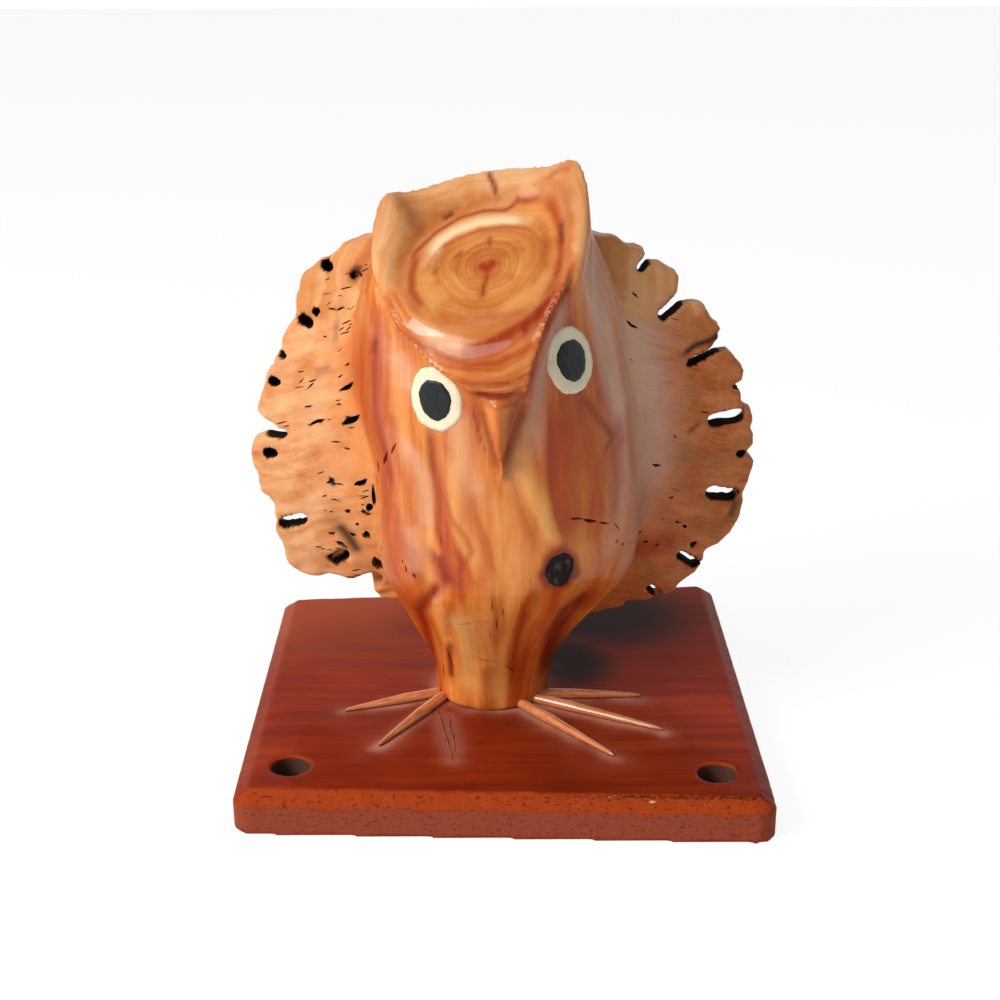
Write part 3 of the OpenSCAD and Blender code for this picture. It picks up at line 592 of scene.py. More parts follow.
def beyondTrunk(p):
    # how far a place lies outside the trunk's edges
    heights, lefts, rights = np.array(trunkEdges, float).T
    return np.maximum(np.interp(p[:, 2], heights, lefts) - p[:, 0],
                      p[:, 0] - np.interp(p[:, 2], heights, rights))


def wingShare(p):
    # 0 on the trunk, 1 on the wings
    behind = ease((p[:, 1] - 4) / 8) * ease((owl["wingTop"] - p[:, 2]) / 10)
    return np.maximum(ease(beyondTrunk(p) / 8 + 0.5), behind) * ease((p[:, 2] - owl["wingFrom"]) / 4)


def cutShare(p, n):
    # 1 on the slanted cut through the branch
    up = np.array(owl["cutWay"]) / np.linalg.norm(owl["cutWay"])
    away = fromPath(p[:, ::2], lipLine)[2]
    behindLip = np.maximum(ease(0.5 + away / 1.5), ease((p[:, 1] + 20) / 6))
    return ease((n @ up - 0.5) / 0.2) * ease((p[:, 2] - owl["cutFrom"]) / 4) * behindLip


def fromPith(p):
    # share of the way from the pith to the ringed face's edge
    x, y = p[:, 0] - owl["pith"][0], p[:, 1] - owl["pith"][1]
    turn = np.degrees(np.arctan2(y, x))
    angles, reach = np.array(faceOutline, float).T
    degrees = np.arange(-540, 541)
    even = np.interp((degrees + 180) % 360 - 180, angles, reach)
    window = np.hanning(owl["faceWindow"])
    even = np.convolve(even, window / window.sum(), "same")
    outline = np.interp(turn, degrees, even)
    away = np.hypot(x, y)
    # round near the pith, like the outline further out
    usual = owl["faceReach"]
    outline = usual + (outline - usual) * ease(away / owl["faceRound"])
    return away / outline


def drawn(flat, path, widths):
    # how strongly a mark shows: full on its path, fading over its own width on each side, the
    # first being the left side of a path that runs downward and the upper side of one to the right
    away, along, side = fromPath(flat, path)
    across, down = path[-1][0] - path[0][0], path[0][1] - path[-1][1]
    side = -side if down > abs(across) else side
    share = np.exp(-(side / np.where(side > 0, widths[0], widths[1])) ** 2)
    ends = ease(along / 0.15) * ease((1 - along) / 0.15) if len(path) > 2 else 1
    return share * np.exp(-(np.maximum(away - np.abs(side), 0) / min(widths)) ** 2) * (
        0.35 + 0.65 * ends)


def addBeak(piece):
    # a sharper beak than the solid's, joined to the figure before it is remeshed
    b = beak
    verts = [b["left"], b["right"], b["tip"], b["ridgeTop"], b["ridgeTip"]]
    verts += [(x, b["root"], z) for x, _, z in verts[:3]]
    faces = [(3, 0, 2, 4), (1, 3, 4, 2), (3, 1, 0), (0, 1, 6, 5), (1, 2, 7, 6), (2, 0, 5, 7),
             (5, 6, 7)]
    work = bmesh.new()
    work.from_mesh(piece.data)
    points = [work.verts.new(Vector(v) * mm) for v in verts]
    for face in faces:
        work.faces.new([points[i] for i in face])
    bmesh.ops.recalc_face_normals(work, faces=work.faces)
    work.to_mesh(piece.data)
    work.free()


def carve(piece):
    mesh = piece.data
    p = placesOf(mesh)
    held = 0.85 * ease((8 - np.abs(p[:, 0])) / 2) * ease((p[:, 2] - 89) / 2) \
        * ease((110 - p[:, 2]) / 4) * (p[:, 1] < -35)
    smoothed(mesh, owl["smoothing"], hold=held)
    p = placesOf(mesh)
    crown = ease((p[:, 2] - 138) / 8)
    smoothed(mesh, owl["crownRounds"], hold=1 - crown)
    p = placesOf(mesh)
    beyond = beyondTrunk(p)
    valley = ease((beyond + 11) / 6) * (1 - ease((beyond - 4) / 7)) * ease((p[:, 2] - 52) / 12) \
        * ease((owl["wingTop"] - p[:, 2]) / 8) * (p[:, 1] < 16)
    smoothed(mesh, owl["valleyRounds"], 0.6, 0.0, 1 - valley)
    p, n = placesOf(mesh), normalsOf(mesh)
    wing, cut = wingShare(p), cutShare(p, n)
    front = ease((0.35 - n[:, 1]) / 0.4) * (1 - cut)
    out = np.zeros(len(p))
    for path, widths, depth, *_ in marks.values():
        if depth:
            out -= depth * drawn(p[:, ::2], path, [max(w, 0.9) for w in widths]) * front
    for path, sense in ((browLeft, -1), (browRight, 1)):
        away, along, side = fromPath(p[:, ::2], path)
        past = np.exp(-np.maximum(away - np.abs(side), 0) ** 2)
        side = side * sense
        crisp = (ease(side / 1.6 + 0.5) - ease(side / 4.9 + 0.5)) * past
        out += owl["browStep"] * 3 * crisp * front * ease(along / 0.1) * ease((0.9 - along) / 0.2)
    trunk = (1 - wing) * (1 - cut)
    above = ease((p[:, 2] - plaqueTop) / 4) * (0.15 + 0.85 * ease((owl["wingTop"] - p[:, 2]) / 12))
    out += trunk * above * (owl["trunkSway"] * lumps(p, 17, 1)
                            + owl["trunkFlute"] * lumps(p, (8, 8, 55), 2))
    slant = np.stack([np.abs(p[:, 0]) * 0.38 + p[:, 2] * 0.93, np.abs(p[:, 0]) * 0.93, p[:, 1]], 1)
    out += wing * (owl["wingLumps"] * lumps(p, 6.5, 3) + 0.4 * owl["wingLumps"] * lumps(p, 3, 9)
                   + owl["wingGrain"] * lumps(slant, (1.6, 12, 9), 4))
    rings = fromPith(p)
    waves = np.sin(rings * owl["ringWaves"] + 1.2 * lumps(p, 14, 6))
    out += cut * owl["ringDepth"] * waves * ease((0.9 - rings) / 0.5)
    for path, widths, depth, *_ in headMarks.values():
        if depth:
            out -= depth * drawn(p[:, :2], path, [max(w, 0.8) for w in widths]) * cut
    p = p + n * out[:, None]
    low, high = (np.array(c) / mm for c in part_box("owl_figure"))
    setPlaces(mesh, np.clip(p, low, high))


def cutterMesh(rows, tree, segments=18):
    # lens-shaped plugs standing in the surface, one for each row
    verts, faces = [], []
    for x, z, length, width, turn, depth in rows:
        start = Vector((x, -140, z)) * mm
        place, normal = tree.ray_cast(start, Vector((0, 1, 0)))[:2]
        if place is None:
            continue
        level = Vector((math.cos(math.radians(turn)), 0, math.sin(math.radians(turn))))
        side = (level - normal * level.dot(normal)).normalized()
        up = normal.cross(side)
        base = len(verts)
        pointed = 1.0 if length > width * 2 else 0.0
        for lift, share in ((1.5, 1.2), (0, 1.0), (-depth * 0.6, 0.8), (-depth, 0.35)):
            for i in range(segments):
                a = 2 * math.pi * i / segments
                rough = 0.2 - 0.1 * pointed
                wobble = 1 + rough * (math.sin(3 * a + x * 7) + 0.8 * math.sin(5 * a + z * 5))
                across = math.sin(a) * abs(math.sin(a)) ** pointed * wobble
                bow = 0.13 * pointed * math.sin(math.cos(a) * 2.6 + x * 3 + z)
                verts.append(place + mm * (
                    side * (length / 2 * math.cos(a) * share)
                    + up * (width * (0.5 * across * share + bow)) + normal * lift))
        rings = 4
        for r in range(rings - 1):
            for i in range(segments):
                a, b = base + r * segments + i, base + r * segments + (i + 1) % segments
                faces.append((a, b, b + segments, a + segments))
        faces.append(tuple(base + i for i in range(segments))[::-1])
        faces.append(tuple(base + (rings - 1) * segments + i for i in range(segments)))
    mesh = bpy.data.meshes.new("cutters")
    mesh.from_pydata(verts, [], faces)
    return mesh


def outwards(mesh):
    work = bmesh.new()
    work.from_mesh(mesh)
    bmesh.ops.recalc_face_normals(work, faces=work.faces)
    work.to_mesh(mesh)
    work.free()


def cutHoles(piece, bark):
    # the holes' walls take the near-black bark finish: bark in the wing's slots, painted shade in the cracks
    # of the trunk and leg
    tree = treeOf(piece)
    every = [row for rows in slits.values() for row in rows]
    passes = owl["cutterPasses"]  # neighbours along a crack overlap, so they take turns
    for rows in (every[i::passes] for i in range(passes)):
        mesh = cutterMesh(rows, tree)
        outwards(mesh)
        mesh.materials.append(bark)
        tool = bpy.data.objects.new("cutters", mesh)
        bpy.context.scene.collection.objects.link(tool)
        hole = piece.modifiers.new("holes", "BOOLEAN")
        hole.operation, hole.object, hole.solver = "DIFFERENCE", tool, "EXACT"
        hole.material_mode = "TRANSFER"
        applied(piece)
        bpy.data.objects.remove(tool)


def paintMarks(piece):
    # what the wood's finish reads from the mesh
    mesh = piece.data
    p, n = placesOf(mesh), normalsOf(mesh)
    wing, cut = wingShare(p), cutShare(p, n)
    front = ease((0.5 - n[:, 1]) / 0.4) * (1 - cut)
    # the sheen share is painted reflection: the varnish's pale pinkish mirror of the room, laid into the
    # colour
    shown = {name: np.zeros(len(p)) for name in ("red", "pale", "dark", "sheen")}
    for rows, flat, where in ((marks, p[:, ::2], front), (headMarks, p[:, :2], cut)):
        for path, widths, depth, *shares in rows.values():
            share = drawn(flat, path, widths) * where
            for name, full in zip(shown, shares):
                if full:
                    shown[name] = np.maximum(shown[name], share * full)
    tree = treeOf(piece)
    # wing places facing other wood within 6 mm, in slots and pockets, and a frame round them are painted near
    # black: the bark lining them, and painted shade in the recesses
    inside = np.zeros(len(p))
    for i in np.nonzero(wing > 0.3)[0]:
        way = Vector(n[i])
        hit = tree.ray_cast(Vector(p[i] * mm) + way * 0.0003, way, 0.006)
        if hit[0] is not None:
            inside[i] = ease((6 - hit[3] / mm) / 3)
    ends = np.zeros(len(mesh.edges) * 2, np.int64)
    mesh.edges.foreach_get("vertices", ends)
    ends = ends.reshape(-1, 2)
    rim = inside.copy()
    ties = np.bincount(ends.ravel(), minlength=len(p)).clip(1)
    for _ in range(owl["rimRounds"]):  # a dark frame round the slots
        rim = 0.35 * rim + 0.65 * (np.bincount(ends[:, 0], rim[ends[:, 1]], len(p))
                                   + np.bincount(ends[:, 1], rim[ends[:, 0]], len(p))) / ties
    inside = ease((rim + 0.06 * lumps(p, 2.6, 33) - 0.09) / 0.12)
    spot, _ = placeOn(tree, "knot")
    spot = np.array(spot) / mm
    halfW, halfH = knot["size"][0] / 2, knot["size"][1] / 2
    away = np.hypot((p[:, 0] - spot[0]) / halfW, (p[:, 2] - spot[2]) / halfH)
    turn = np.arctan2(p[:, 2] - spot[2], p[:, 0] - spot[0])
    away = away * (1 + 0.08 * np.sin(3 * turn) + 0.05 * np.sin(7 * turn + 1))
    near = front * ease((12 - np.linalg.norm(p - spot, axis=1)) / 4)
    shown["red"] = np.maximum(shown["red"], 0.9 * near * ease((1.0 + knot["halo"] / halfW - away) / 0.6))
    shown["dark"] = np.maximum(shown["dark"], 0.35 * near * ease((1.3 - away) / 0.2))
    below = fromPath(p[:, ::2], lipLine)[2]
    inBrow = ease(fromPath(p[:, ::2], browLeft)[2] * -1 / 1.2 + 0.5) \
        * ease(fromPath(p[:, ::2], browRight)[2] / 1.2 + 0.5)
    brow = inBrow * front * ease((p[:, 2] - 111) / 3) * (p[:, 1] < -10)
    limb = ease((beyondTrunk(p) + 9) / 6) * (1 - cut)
    for name, values in (*shown.items(), ("wing", wing), ("cut", cut), ("inside", inside), ("limb", limb),
                         ("rings", fromPith(p)), ("brow", brow), ("below", below)):
        store(mesh, name, values)


# Colours of the varnished wood, those of a ramp from dark to pale, with painted reflection and shade among
# them.
owlColours = {
    "trunk": ((0.40, 0.055, 0.010), (0.57, 0.12, 0.018), (0.70, 0.22, 0.042), (0.78, 0.34, 0.10)),
    "legTint": (1.12, 0.98, 0.80),
    "burl": ((0.54, 0.16, 0.045), (0.69, 0.27, 0.10), (0.76, 0.36, 0.16), (0.82, 0.46, 0.24)),
    "hairs": (0.40, 0.125, 0.04), "gold": (0.74, 0.235, 0.045), "rim": (0.82, 0.46, 0.21),
    "rightShadeAndTint": (0.84, 0.60, 0.50), "olive": (0.36, 0.16, 0.045), "valley": (0.60, 0.36, 0.25),
    "warm": (0.50, 0.095, 0.02),
    "face": ((0.47, 0.13, 0.026), (0.59, 0.205, 0.048), (0.70, 0.29, 0.085)),
    "ring": (0.34, 0.08, 0.02),
    "crest": ((0.52, 0.16, 0.04), (0.64, 0.26, 0.085), (0.74, 0.38, 0.17)),
    "pearl": (0.76, 0.44, 0.21),
    "bands": ((0.42, 0.07, 0.012), (0.58, 0.15, 0.030), (0.70, 0.26, 0.075)),
    "pale": ((0.80, 0.37, 0.10), (0.88, 0.63, 0.36)), "red": (0.36, 0.034, 0.005),
    "paintedReflection": ((0.79, 0.43, 0.26), (0.74, 0.46, 0.34)), "dark": (0.05, 0.014, 0.01),
    "slot": (0.012, 0.006, 0.006), "bark": ((0.004, 0.002, 0.002), (0.035, 0.014, 0.010)),
}


def owlWood():
    f, c = Finish("varnishedBranchWood"), owlColours
    at = f.place()
    x, y, z = f.parts(at)
    wing, cut, rings = f.mark("wing"), f.mark("cut"), f.mark("rings")
    # the trunk's grain runs up it, whichever way its skin slopes
    axis = f.parts(f.node("ShaderNodeVectorMath", {"operation": "NORMALIZE"},
                          {0: f.join(x + 2.0, y + 3.0)}))
    shell = f.join(axis[0] * 34.0, axis[1] * 34.0, z)
    streak = f.noise(f.stretch(f.shift(shell, 9.0, 0.045), (0.11, 0.11, 0.014)), 1.0, 4.0, 0.55)
    strand = f.noise(f.stretch(f.shift(shell, 3.0, 0.1), (0.4, 0.4, 0.024)), 1.0, 3.0, 0.6)
    fine = f.noise(f.stretch(f.shift(shell, 1.2, 0.3), (1.3, 1.3, 0.06)), 1.0, 3.0, 0.65)
    broad = f.noise(f.stretch(at, (0.035, 0.035, 0.02), shift=(3, 1, 2)), 1.0, 2.0)
    tone = streak * 0.62 + strand * 0.15 + fine * 0.09 + broad * 0.3 - 0.08
    trunk = f.ramp(f.step(tone, 0.32, 0.70), *zip((0.0, 0.3, 0.62, 1.0), c["trunk"]))
    trunk = f.mix(f.step(z, 66.0, 44.0), trunk, c["legTint"], "MULTIPLY")
    # the wings' grain drops outward on both sides
    aside = (x * x + 12.0) ** 0.5
    over, out = aside * 0.38 + z * 0.93, aside * 0.93 - z * 0.38
    fan = f.shift(f.join(over, out, y), 5.0, 0.06)
    figure = f.noise(f.stretch(fan, (0.2, 0.06, 0.08)), 1.0, 4.0, 0.6)
    hairs = f.noise(f.stretch(fan, (1.7, 0.13, 0.2)), 1.0, 3.0, 0.65)
    blotch = f.noise(f.stretch(at, (0.07, 0.07, 0.07)), 1.0, 3.0, 0.6)
    speck = f.noise(f.stretch(at, (0.7, 0.7, 0.9)), 1.0, 3.0, 0.7)
    wingTone = figure * 0.36 + hairs * 0.2 + blotch * 0.44
    burl = f.ramp(f.step(wingTone, 0.3, 0.7), *zip((0.0, 0.35, 0.65, 1.0), c["burl"]))
    right = f.step(x, 0.0, 30.0)
    burl = f.mix(f.step(hairs, 0.5, 0.66) * (0.2 + right * 0.5), burl, c["hairs"])
    gold = f.step(aside, 56.0, 40.0) * f.step(blotch, 0.36, 0.6) * 0.65
    burl = f.mix(gold, burl, c["gold"])
    outer = f.step(aside, 44.0, 62.0)
    burl = f.mix(outer * f.step(figure, 0.35, 0.65) * 0.45, burl, c["rim"])
    # the right wing is darkened and reddened: painted shade on the side away from the key light, and a redder
    # wood
    burl = f.mix(right, burl, f.mix(1.0, burl, c["rightShadeAndTint"], "MULTIPLY"))
    olive = f.noise(f.stretch(fan, (0.11, 0.05, 0.08), shift=(4, 9, 1)), 1.0, 3.0, 0.6)
    burl = f.mix(f.step(olive, 0.46, 0.62) * right * f.step(z, 132.0, 112.0) * 0.55, burl,
                 c["olive"])
    # painted reflection: a pale lilac sheen, broken by the grain, on the right wing near the trunk
    valley = right * f.step(aside, 58.0, 38.0) * f.step(z, 76.0, 100.0)
    burl = f.mix(valley * f.step(hairs, 0.3, 0.62), burl, c["valley"])
    warm = f.step(blotch, 0.5, 0.68) * outer * (0.3 + right * 0.45)
    burl = f.mix(warm, burl, c["warm"])
    # rings round the pith, strong near it
    warp = f.noise(f.stretch(at, (0.07, 0.07, 0.07))) * 2.2
    ringTone = f.noise(f.join(rings * 26.0 + warp, 0.0, 0.0), 1.0, 3.0, 0.7)
    wide = f.noise(f.join(rings * 5.0 + warp, 0.3, 0.0), 1.0, 2.0, 0.5)
    face = f.ramp(f.step(wide * 0.55 + blotch * 0.45, 0.36, 0.64), *zip((0.0, 0.5, 1.0), c["face"]))
    near = f.step(rings, 0.75, 0.15, 0.12, 0.8)
    face = f.mix(f.step(ringTone, 0.52, 0.60) * near, face, c["ring"])
    crest = f.ramp(f.step(wide * 0.45 + blotch * 0.25 + broad * 0.3, 0.38, 0.62),
                   *zip((0.0, 0.5, 1.0), c["crest"]))
    pearl = f.step(x, -8.0, 8.0) * f.step(y, -2.0, 8.0)
    crest = f.mix(pearl * 0.3, crest, c["pearl"])
    face = f.mix(f.step(rings, 1.03, 0.95), crest, face)
    # bands that follow the lip down the forehead
    bandTone = f.noise(f.join(f.mark("below") * 0.32 + warp * 0.4, x * 0.03, 0.0), 1.0, 4.0, 0.6)
    bands = f.ramp(f.step(bandTone, 0.34, 0.66), *zip((0.0, 0.4, 1.0), c["bands"]))
    colour = f.mix(wing, trunk, burl)
    colour = f.mix(f.mark("brow"), colour, bands)
    colour = f.mix(cut, colour, face)
    streaky = strand * (1.3 - cut * 1.3) + 0.3 + cut * 0.7
    paler = f.mix(cut, *c["pale"])
    colour = f.mix(f.mark("pale") * streaky, colour, paler)
    colour = f.mix(f.mark("red") * streaky, colour, c["red"])
    # painted reflection of the varnish where the sheen marks lie
    paintedReflection = f.mix(f.step(x, -4.0, 14.0), *c["paintedReflection"])
    colour = f.mix(f.mark("sheen") * (strand * 0.9 + 0.5), colour, paintedReflection)
    colour = f.mix(f.mark("dark"), colour, c["dark"])
    colour = f.mix(f.mark("inside"), colour, c["slot"])
    height = (fine * 0.35 + strand * 0.3) * (1.0 - cut) + (speck * 0.4 + hairs * 0.25) * wing
    normal = f.raised(height, 0.14, 0.45)
    rough = 0.3 + speck * wing * 0.35 + f.mark("inside") * 0.5
    coat = (0.34 - wing * 0.27 - cut * 0.31) * (1.0 - f.mark("inside")) * (1.0 - f.mark("limb"))
    return f.surface(colour, normal, Roughness=rough, Coat_Weight=coat,
                     Coat_Roughness=0.07, Specular_IOR_Level=0.06)


def barkFinish():
    f = Finish("darkBark")
    at = f.place()
    grain = f.noise(at, 0.9, 4.0, 0.6)
    colour = f.ramp(grain, *zip((0.3, 0.75), owlColours["bark"]))
    return f.surface(colour, f.raised(grain, 0.3, 0.8), Roughness=0.85, Specular_IOR_Level=0.15)


owlPiece = plainCopy("owl_figure", "owl_figure_carved")
addBeak(owlPiece)
remeshed(owlPiece, owl["voxel"])
carve(owlPiece)
bark = barkFinish()
cutHoles(owlPiece, bark)
paintMarks(owlPiece)
owlMaterial = owlWood()
owlPiece.data.materials.clear()
owlPiece.data.materials.append(owlMaterial)
owlPiece.data.materials.append(bark)
shadeSmooth(owlPiece.data)
owlPiece.data.set_sharp_from_angle(angle=math.radians(owl["sharpAngle"]))
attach(owlPiece, "root")
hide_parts("owl_figure")
owlTree = treeOf(owlPiece)
print("the owl is carved:", len(owlPiece.data.vertices), "points")

eyes = {
    "left": {"point": "leftEye", "ring": (15.6, 18.2), "pupil": (9.8, 11.4), "lean": 12, "seed": 3,
             "nodes": ("eye_white_left", "pupil_left"), "shift": (-0.3, 0.0)},
    "right": {"point": "rightEye", "ring": (16.4, 18.4), "pupil": (10.4, 11.4), "lean": -4, "seed": 8,
              "nodes": ("eye_white_right", "pupil_right"), "shift": (0.9, 0.2)},
    "coat": 0.3, "around": 96, "across": 14, "ringRagged": 0.035, "pupilRagged": 0.05,
    "cream": ((0.87, 0.78, 0.55), (0.66, 0.48, 0.25)),  # the paint, then its stain
    "black": ((0.012, 0.016, 0.018), (0.03, 0.033, 0.034)),
}


def paintPatch(name, tree, middle, normal, size, lean, lift, coat, seed, ragged):
    # a coat of paint with a hand-brushed edge, laid over the carving
    around, across = eyes["around"], eyes["across"]
    up = (Vector((0, 0, 1)) - normal * normal.z).normalized()
    side = up.cross(normal).normalized()
    tilt = math.radians(lean)
    side, up = (side * math.cos(tilt) + up * math.sin(tilt),
                up * math.cos(tilt) - side * math.sin(tilt))
    verts, faces = [], []
    for level in (0, 1):
        for r in range(across):
            share = (r + 0.5) / across if r < across - 1 else 1.0
            for i in range(around):
                a = 2 * math.pi * i / around
                edge = 1 + ragged * (math.sin(3 * a + seed) * 0.5 + math.sin(7 * a + seed * 2) * 0.3
                                     + math.sin(13 * a + seed * 5) * 0.25
                                     + math.sin(29 * a + seed * 7) * 0.14)
                flat = middle + mm * share * edge * (
                    side * (size[0] / 2 * math.cos(a)) + up * (size[1] / 2 * math.sin(a)))
                place, face = tree.ray_cast(flat + normal * 0.02, -normal)[:2]
                if place is None:
                    place, face = tree.find_nearest(flat)[:2]
                thick = coat * (1.0 if share < 0.9 else 0.35)
                brushed = 0.012 * math.sin(side.dot(flat) / mm * 2.3 + 2 * math.sin(up.dot(flat) / mm))
                verts.append(place + normal * mm * (lift + (thick + brushed * (share < 0.9)
                                                            if level else -0.25)))
    layer = around * across
    for level in (0, 1):
        for r in range(across - 1):
            for i in range(around):
                a = level * layer + r * around + i
                b = level * layer + r * around + (i + 1) % around
                faces.append((a, b, b + around, a + around))
        faces.append(tuple(level * layer + i for i in range(around)))
    for i in range(around):
        a, b = (across - 1) * around + i, (across - 1) * around + (i + 1) % around
        faces.append((a, b, b + layer, a + layer))
    mesh = bpy.data.meshes.new(name)
    mesh.from_pydata(verts, [], faces)
    outwards(mesh)
    shadeSmooth(mesh)
    piece = bpy.data.objects.new(name, mesh)
    bpy.context.scene.collection.objects.link(piece)
    return piece


def paintFinish(name, colour, stain, rough, coat):
    f = Finish(name)
    at = f.place()
    strokes = f.noise(f.stretch(f.shift(at, 1.5, 0.2), (1.2, 1.2, 0.22)), 1.0, 4.0, 0.6)
    blots = f.noise(at, 0.35, 4.0, 0.65)
    tint = f.mix(f.step(blots, 0.5, 0.8) * 0.55, colour, stain)
    tint = f.mix(f.step(strokes, 0.45, 0.75) * 0.22, tint, stain)
    return f.surface(tint, f.raised(strokes, 0.12, 0.6), Roughness=rough + strokes * 0.15,
                     Coat_Weight=coat, Coat_Roughness=0.2, Specular_IOR_Level=0.2)


cream = paintFinish("creamPaint", *eyes["cream"], 0.35, 0.3)
black = paintFinish("blackPaint", *eyes["black"], 0.3, 0.12)
for side in ("left", "right"):
    e = eyes[side]
    place, normal = placeOn(owlTree, e["point"])
    level = Vector((1, 0, 0)) - normal * normal.x
    place = place + mm * (level.normalized() * e["shift"][0] + Vector((0, 0, 1)) * e["shift"][1])
    ring = paintPatch(f"eye_white_{side}_brushed", owlTree, place, normal, e["ring"], e["lean"],
                      0.02, eyes["coat"], e["seed"], eyes["ringRagged"])
    dressed(ring, cream, "cream_paint", e["nodes"][0])
    ringTree = treeOf(ring)
    pupil = paintPatch(f"pupil_{side}_brushed", ringTree, place, normal, e["pupil"], e["lean"],
                       0.04, eyes["coat"], e["seed"] + 4, eyes["pupilRagged"])
    dressed(pupil, black, "black_paint", e["nodes"][1])
print("the eyes are painted")


def knotFinish():
    f = Finish("darkKnot")
    at = f.place()
    grain = f.noise(at, 0.9, 4.0, 0.65)
    gleam = f.noise(f.stretch(at, (0.6, 0.6, 0.3)), 1.0, 2.0)
    colour = f.ramp(grain, *zip((0.3, 0.6, 0.8), knot["colours"]))
    return f.surface(colour, f.raised(grain, 0.5, 0.8), Roughness=f.step(gleam, 0.45, 0.65, 0.7, 0.4),
                     Coat_Weight=f.step(gleam, 0.52, 0.66) * 0.5, Coat_Roughness=0.12,
                     Specular_IOR_Level=0.1)


place, normal = placeOn(owlTree, "knot")
knotPiece = paintPatch("knot_in_the_belly", owlTree, place, normal, knot["size"], knot["lean"], 0.02,
                       knot["thick"], knot["seed"], knot["ragged"])
dressed(knotPiece, knotFinish(), "carved_wood")

plaque = {
    "voxel": 0.95, "smoothing": 2, "ripple": 0.05, "edgeWear": 0.35, "sawMarks": 0.09,
    "holeX": 59.3, "holeY": -56.5, "holeTurn": 2.6, "holeClear": 10, "holeWall": 9.5,
    "wornFrom": -60, "dustReach": 2.4, "hazeReach": 6, "scarReach": 3.4,
    "foot": (-3, -3), "footSize": (17.2, 18.4),
    # A shadow painted behind the owl, to match the photo: middle and size of its two parts.
    "shade": (((35, 50), (33, 31)), ((22, 14), (15, 22))), "shadeStrength": 0.93,
}
toes = {
    "outer_left": ((-19, -10.5), (-46.6, -21)), "inner_left": ((-17.5, -12.5), (-35.5, -43.3)),
    "back_right": ((10, -11.6), (41.7, -12)), "middle_right": ((8, -13.5), (46.2, -34.3)),
    "front_right": ((4.5, -16.5), (31.2, -50)),
}
glueScar = [((-19.5, -19), (-14, -52)), ((-16, -24), (-13.4, -46))]


def laidOn(mesh, tree, share):
    # moves the points of a remeshed skin onto the solid's own faces
    places = placesOf(mesh)
    for i, place in enumerate(places):
        near = tree.find_nearest(Vector(place) * mm)[0]
        places[i] += (np.array(near) / mm - place) * share
    setPlaces(mesh, places)


def fromHoles(p):
    # distance of places from the nearer pen socket's middle, seen from above
    return np.hypot(np.abs(p[:, 0]) - plaque["holeX"], p[:, 1] - plaque["holeY"])


def wearPlaque(piece, tree):
    mesh = piece.data
    smoothed(mesh, plaque["smoothing"])
    laidOn(mesh, tree, 1.0)
    smoothed(mesh, 1, 0.45, -0.3)
    laidOn(mesh, tree, 0.7)
    p, n = placesOf(mesh), normalsOf(mesh)
    top = ease((n[:, 2] - 0.85) / 0.1)
    side = ease((0.35 - np.abs(n[:, 2])) / 0.2)
    slope = (1 - top) * (1 - side) * ease((n[:, 2] - 0.2) / 0.2)
    out = top * plaque["ripple"] * lumps(p, (26, 14, 20), 11)
    out += side * plaque["sawMarks"] * (lumps(p, (1.6, 1.6, 9), 12) + lumps(p, 5, 13))
    ragged = lumps(p, (3.2, 3.2, 3.2), 14) + 0.7 * lumps(p, (1.5, 1.5, 1.5), 15)
    slope *= fromHoles(p) > plaque["holeClear"]
    slope *= 0.2 + 0.8 * ease((plaque["wornFrom"] - p[:, 1]) / 6)  # the front edge is the worn one
    out -= slope * plaque["edgeWear"] * ease(ragged * 0.5 + 0.4)
    p = p + n * out[:, None]
    low, high = (np.array(c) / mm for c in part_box("base_board"))
    setPlaces(mesh, np.clip(p, low, high))


def oval(p, middle, size):
    # 0 in the middle of an oval on the plaque, 1 on its edge
    return np.hypot((p[:, 0] - middle[0]) / size[0], (p[:, 1] - middle[1]) / size[1])


def paintPlaque(piece):
    mesh = piece.data
    p, n = placesOf(mesh), normalsOf(mesh)
    near = np.full(len(p), 99.0)
    for path in toes.values():  # more dust lies in front of the toes
        near = np.minimum(near, fromPath(p[:, :2] + (0.3, 1.3), path)[0])
    foot = np.abs(oval(p, plaque["foot"], plaque["footSize"]) - 1) * 17
    near = np.minimum(near, foot + 0.6)
    scar = np.minimum(*(fromPath(p[:, :2], path)[0] for path in glueScar))
    onTop = ease((p[:, 2] - plaqueTop + 1) / 0.5)
    cloud = 0.6 + 0.4 * lumps(p, 6, 21)
    dust = 1.1 * np.exp(-(near / plaque["dustReach"]) ** 2) * cloud \
        + 0.25 * np.exp(-(near / plaque["hazeReach"]) ** 2) * ease(cloud)
    dust = np.maximum(dust, 0.45 * np.exp(-(scar / plaque["scarReach"]) ** 2))
    store(mesh, "dust", dust.clip(0, 1) * onTop)
    arris = np.exp(-((p[:, 2] - plaqueTop + 0.35) / 0.5) ** 2) * ease((-p[:, 1] - 70) / 2)
    store(mesh, "arris", arris)
    # the painted shadow of the owl on the plaque's top, behind the foot
    dim = np.minimum(*(oval(p, *part) for part in plaque["shade"]))
    store(mesh, "dim", ease(1.3 - dim) * onTop)
    side = ease((0.3 - np.abs(n[:, 2])) / 0.2)
    top = ease((n[:, 2] - 0.9) / 0.08)
    within = np.abs(p[:, 0]) < 70
    hole = (side * (fromHoles(p) < plaque["holeWall"]) * (p[:, 1] > -66)) \
        + (p[:, 2] < plaqueTop - 4) * (n[:, 2] > 0.5)
    store(mesh, "bore", hole.clip(0, 1) * within)
    store(mesh, "edge", side * (1 - hole.clip(0, 1)))
    facing = 0.1 + 0.9 * ease((-n[:, 1] - 0.2) / 0.2)
    store(mesh, "bevel", facing * ((1 - side) * (1 - top) * (n[:, 2] > 0)).clip(0, 1)
          * (1 - hole.clip(0, 1)))


